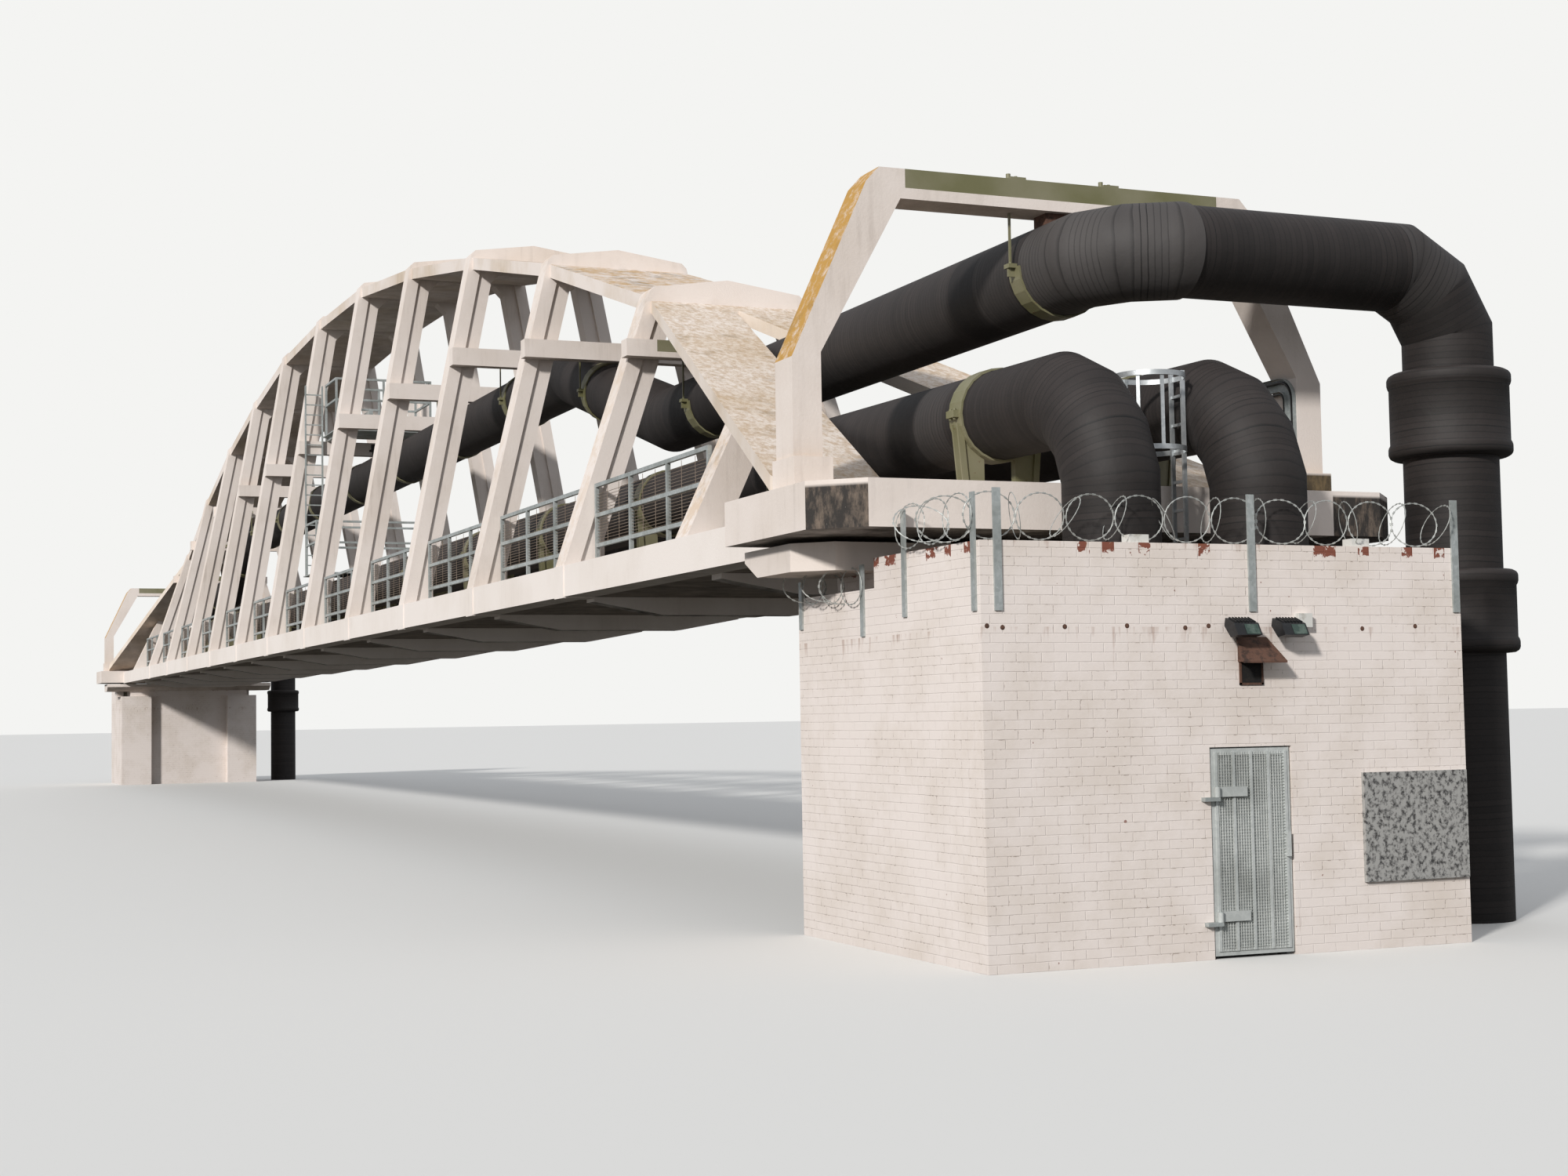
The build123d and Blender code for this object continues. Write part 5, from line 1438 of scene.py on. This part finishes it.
class Studio:
    """Floor, light and the photograph's camera."""

    CAMERA = (24.4035, -5.3829, 1.0020)
    AZIMUTH = 67.34
    PITCH = 3.39
    ROLL = -0.94
    LENS = 49.87
    SENSOR = 36.0
    SUN = (0.58, -0.72, 0.40)           # direction towards it
    SUN_ENERGY = 3.05
    SUN_ANGLE = 5.0
    SUN_COLOUR = (1.0, 0.975, 0.94)
    SKY_STRENGTH = 0.64
    REACH = 400.0                       # half the floor's side in metres

    def build(self) -> None:
        """Set up floor, lights, world and camera."""
        self.floor()
        self.lights()
        self.camera()
        bpy.context.scene.view_settings.view_transform = "Standard"

    def floor(self) -> None:
        """A plain pale floor that bounces less light than the camera sees, as turf would."""
        mesh = bpy.data.meshes.new("floor")
        corners = [(x * self.REACH, y * self.REACH, 0) for x, y in ((-1, -1), (1, -1), (1, 1), (-1, 1))]
        mesh.from_pydata(corners, [], [(0, 1, 2, 3)])
        material = bpy.data.materials.new("studio_floor")
        material.use_nodes = True
        tree = Tree(material.node_tree)
        shader = tree.tree.nodes["Principled BSDF"]
        shader.inputs["Roughness"].default_value = 0.9
        seen = tree.add("LightPath", output="Is Camera Ray")
        dim, pale = linear("#55534D"), linear("#E4E3E0")
        tint = tree.add("Mix", {MIX_FACTOR: seen, MIX_A: dim, MIX_B: pale}, MIX_OUT, data_type="RGBA")
        tree.tree.links.new(tint, shader.inputs["Base Color"])
        mesh.materials.append(material)
        show("floor", mesh)

    def lights(self) -> None:
        """One large soft lamp from the photograph's sunny side and an even pale world."""
        lamp = bpy.data.lights.new("key", "SUN")
        lamp.energy = self.SUN_ENERGY
        lamp.angle = math.radians(self.SUN_ANGLE)
        lamp.color = self.SUN_COLOUR
        show("key", lamp).rotation_euler = Vector(self.SUN).to_track_quat("Z", "Y").to_euler()
        world = bpy.data.worlds.new("studio")
        bpy.context.scene.world = world
        world.use_nodes = True
        tree = Tree(world.node_tree)
        tree.tree.nodes.clear()
        light = tree.add("Background", {"Color": linear("#E9EDF3"), "Strength": self.SKY_STRENGTH})
        seen = tree.add("Background", {"Color": linear("#F4F4F2"), "Strength": 1.0})
        path = tree.add("LightPath", output="Is Camera Ray")
        tree.add("OutputWorld", {"Surface": tree.add("MixShader", {0: path, 1: light, 2: seen})})

    def camera(self) -> None:
        """The camera at the photograph's place and angle."""
        azimuth, pitch, roll = (math.radians(v) for v in (self.AZIMUTH, self.PITCH, self.ROLL))
        level = Vector((-math.sin(azimuth), math.cos(azimuth), 0.0))
        ahead = level * math.cos(pitch) + UP * math.sin(pitch)
        right = ahead.cross(UP).normalized()
        up = right.cross(ahead)
        cosine, sine = math.cos(roll), math.sin(roll)
        right, up = right * cosine + up * sine, up * cosine - right * sine
        lens = bpy.data.cameras.new("photo_camera")
        lens.lens = self.LENS
        lens.sensor_width = self.SENSOR
        lens.clip_end = 1000.0
        view = show("photo_camera", lens)
        turn = Matrix((right, up, -ahead)).transposed().to_4x4()
        view.matrix_world = Matrix.Translation(Vector(self.CAMERA)) @ turn
        bpy.context.scene.camera = view


class PipeBridge:
    """The whole object, in the order in which it is dressed. Sizes and places are in millimetres."""

    # bands in a main's wrapping: from X, to X, how pale
    UPPER_BANDS = ((13050.0, 14880.0, 0.08), (14900.0, 15160.0, -0.6), (15170.0, 15510.0, 0.16),
                   (10650.0, 11150.0, -0.5))
    PAIR_BANDS = ((14915.0, 15190.0, -0.6), (15200.0, 15500.0, 0.2))
    BAND_Z = 2372.0                     # near the lower mains' middle, where they slope down
    BEND_Y = 312.0                      # the cross run's pale wrapping and its full girth end here
    THIN_FROM = 2.0                     # the thinner girth starts this much further on
    THIN_Z = 2470.0                     # and ends at this height on the drop
    THIN_SHARE = 0.95
    # more of its wrapping: the near slope's top, the near first bend, the last bend before the near drop,
    # and the far first bend
    UPPER_PATCHES = (Stretch((7850.0, 0.0, UPPER_Z), (8300.0, 0.0, 3640.0), -0.5),
                     Stretch((15620.0, 0.0, UPPER_END_Z), (DROP_X, BEND_Y, UPPER_END_Z), 0.55),
                     Stretch((DROP_X, 1450.0, UPPER_END_Z), (DROP_X, 1720.0, 3010.0), 0.3),
                     Stretch((-15620.0, 0.0, UPPER_END_Z), (-DROP_X, BEND_Y, UPPER_END_Z), 0.5))
    RAIL_Y = 917.0
    RAIL_Z = 2275.0                     # middle of the wire panels
    RAIL_GAP = 220.0                    # a panel is this much shorter than a bay
    RAIL_PANEL = 360.0                  # its height
    COIL_Z = 1777.0
    COIL_IN = 55.0                      # from the chamber's end wall to the coil's line
    COIL_OUT = 20.0                     # from its side walls to the coil's line
    COIL_END_X = 16285.0
    PIER_COIL = ((15866.0, 1560.0), (15190.0, 1600.0))      # X and height of its ends
    UPPER_BEND = 410.0
    UPPER_GORES = 3
    PAIR_BEND = 470.0
    PAIR_GORES = 4

    def build(self) -> None:
        """Dress the CAD nodes, then add the pieces that only the render has."""
        dress_cad_nodes()
        self.upper_main()
        self.lower_mains()
        Sleeves().build()
        self.railing_mesh()
        ChamberWall().build()
        Door().build()
        CableRun().build()
        PipeClamps().build()
        LampGlass().build()
        self.razor_coils()

    @staticmethod
    def both_ends(half: list[Point]) -> tuple[Point, ...]:
        """A route from its near half, from the ground up, and the same mirrored at the far end."""
        return tuple(half + [(-x, y, z) for x, y, z in reversed(half)])

    def upper_main(self) -> None:
        """The upper main, with a drop at each end."""
        (start, end), z = SLOPE_X, UPPER_END_Z
        route = self.both_ends([(DROP_X, DROP_Y, 0), (DROP_X, DROP_Y, z), (DROP_X, 0, z), (end, 0, z),
                                (start, 0, UPPER_Z)])
        bands = [Stretch((low, 0, z), (high, 0, z), value) for low, high, value in self.UPPER_BANDS]
        drops = [end.value * DROP_X for end in (End.NEAR, End.FAR)]
        girth = tuple(Stretch((x, self.BEND_Y + self.THIN_FROM, z), (x, DROP_Y, self.THIN_Z), self.THIN_SHARE)
                      for x in drops)
        WrappedMain("upper_main", "upper_pipe", route, UPPER_R, self.UPPER_BEND, self.UPPER_GORES,
                    tuple(bands) + self.UPPER_PATCHES, girth).build()

    def lower_mains(self) -> None:
        """The two lower mains, which drop into the chambers."""
        for name, y in (("south", -PAIR_Y), ("north", PAIR_Y)):
            route = self.both_ends([(PAIR_X, y, 0), (PAIR_X, y, PAIR_END_Z), (frame_x(-1), y, PAIR_Z)])
            bands = tuple(Stretch((end.value * a, y, self.BAND_Z), (end.value * b, y, self.BAND_Z), value)
                          for end in End for a, b, value in self.PAIR_BANDS)
            WrappedMain(f"{name}_main", f"lower_pipe_{name}", route, PAIR_R, self.PAIR_BEND, self.PAIR_GORES,
                        bands).build()

    def railing_mesh(self) -> None:
        """Wire infill of the deck railings, one panel in each bay on both sides."""
        panels = [(frame_x(n) + frame_x(n + 1)) / 2 for n in range(-1, FRAMES)]
        for name, side in (("south", -1.0), ("north", 1.0)):
            centres = [at(x, side * self.RAIL_Y, self.RAIL_Z) for x in panels]
            WireInfill().build(f"railing_mesh_{name}", centres, BAY - self.RAIL_GAP, self.RAIL_PANEL, 0.0)

    def razor_coils(self) -> None:
        """Coils along the chamber's end wall and its near side."""
        out, side, z = SHELL_X - self.COIL_IN, SHELL_HALF + self.COIL_OUT, self.COIL_Z
        RazorCoil().build("razor_coil_end", at(out, -side, z), at(out, side, z))
        RazorCoil().build("razor_coil_side", at(out, -side, z), at(self.COIL_END_X, -side, z))
        start, end = [at(x, -side, height) for x, height in self.PIER_COIL]
        RazorCoil(radius=80.0).build("razor_coil_pier", start, end)


def main() -> None:
    """Build everything and report."""
    logging.basicConfig(level=logging.INFO, format="%(name)s: %(message)s")
    PipeBridge().build()
    Studio().build()


if __name__ == "__main__":
    main()
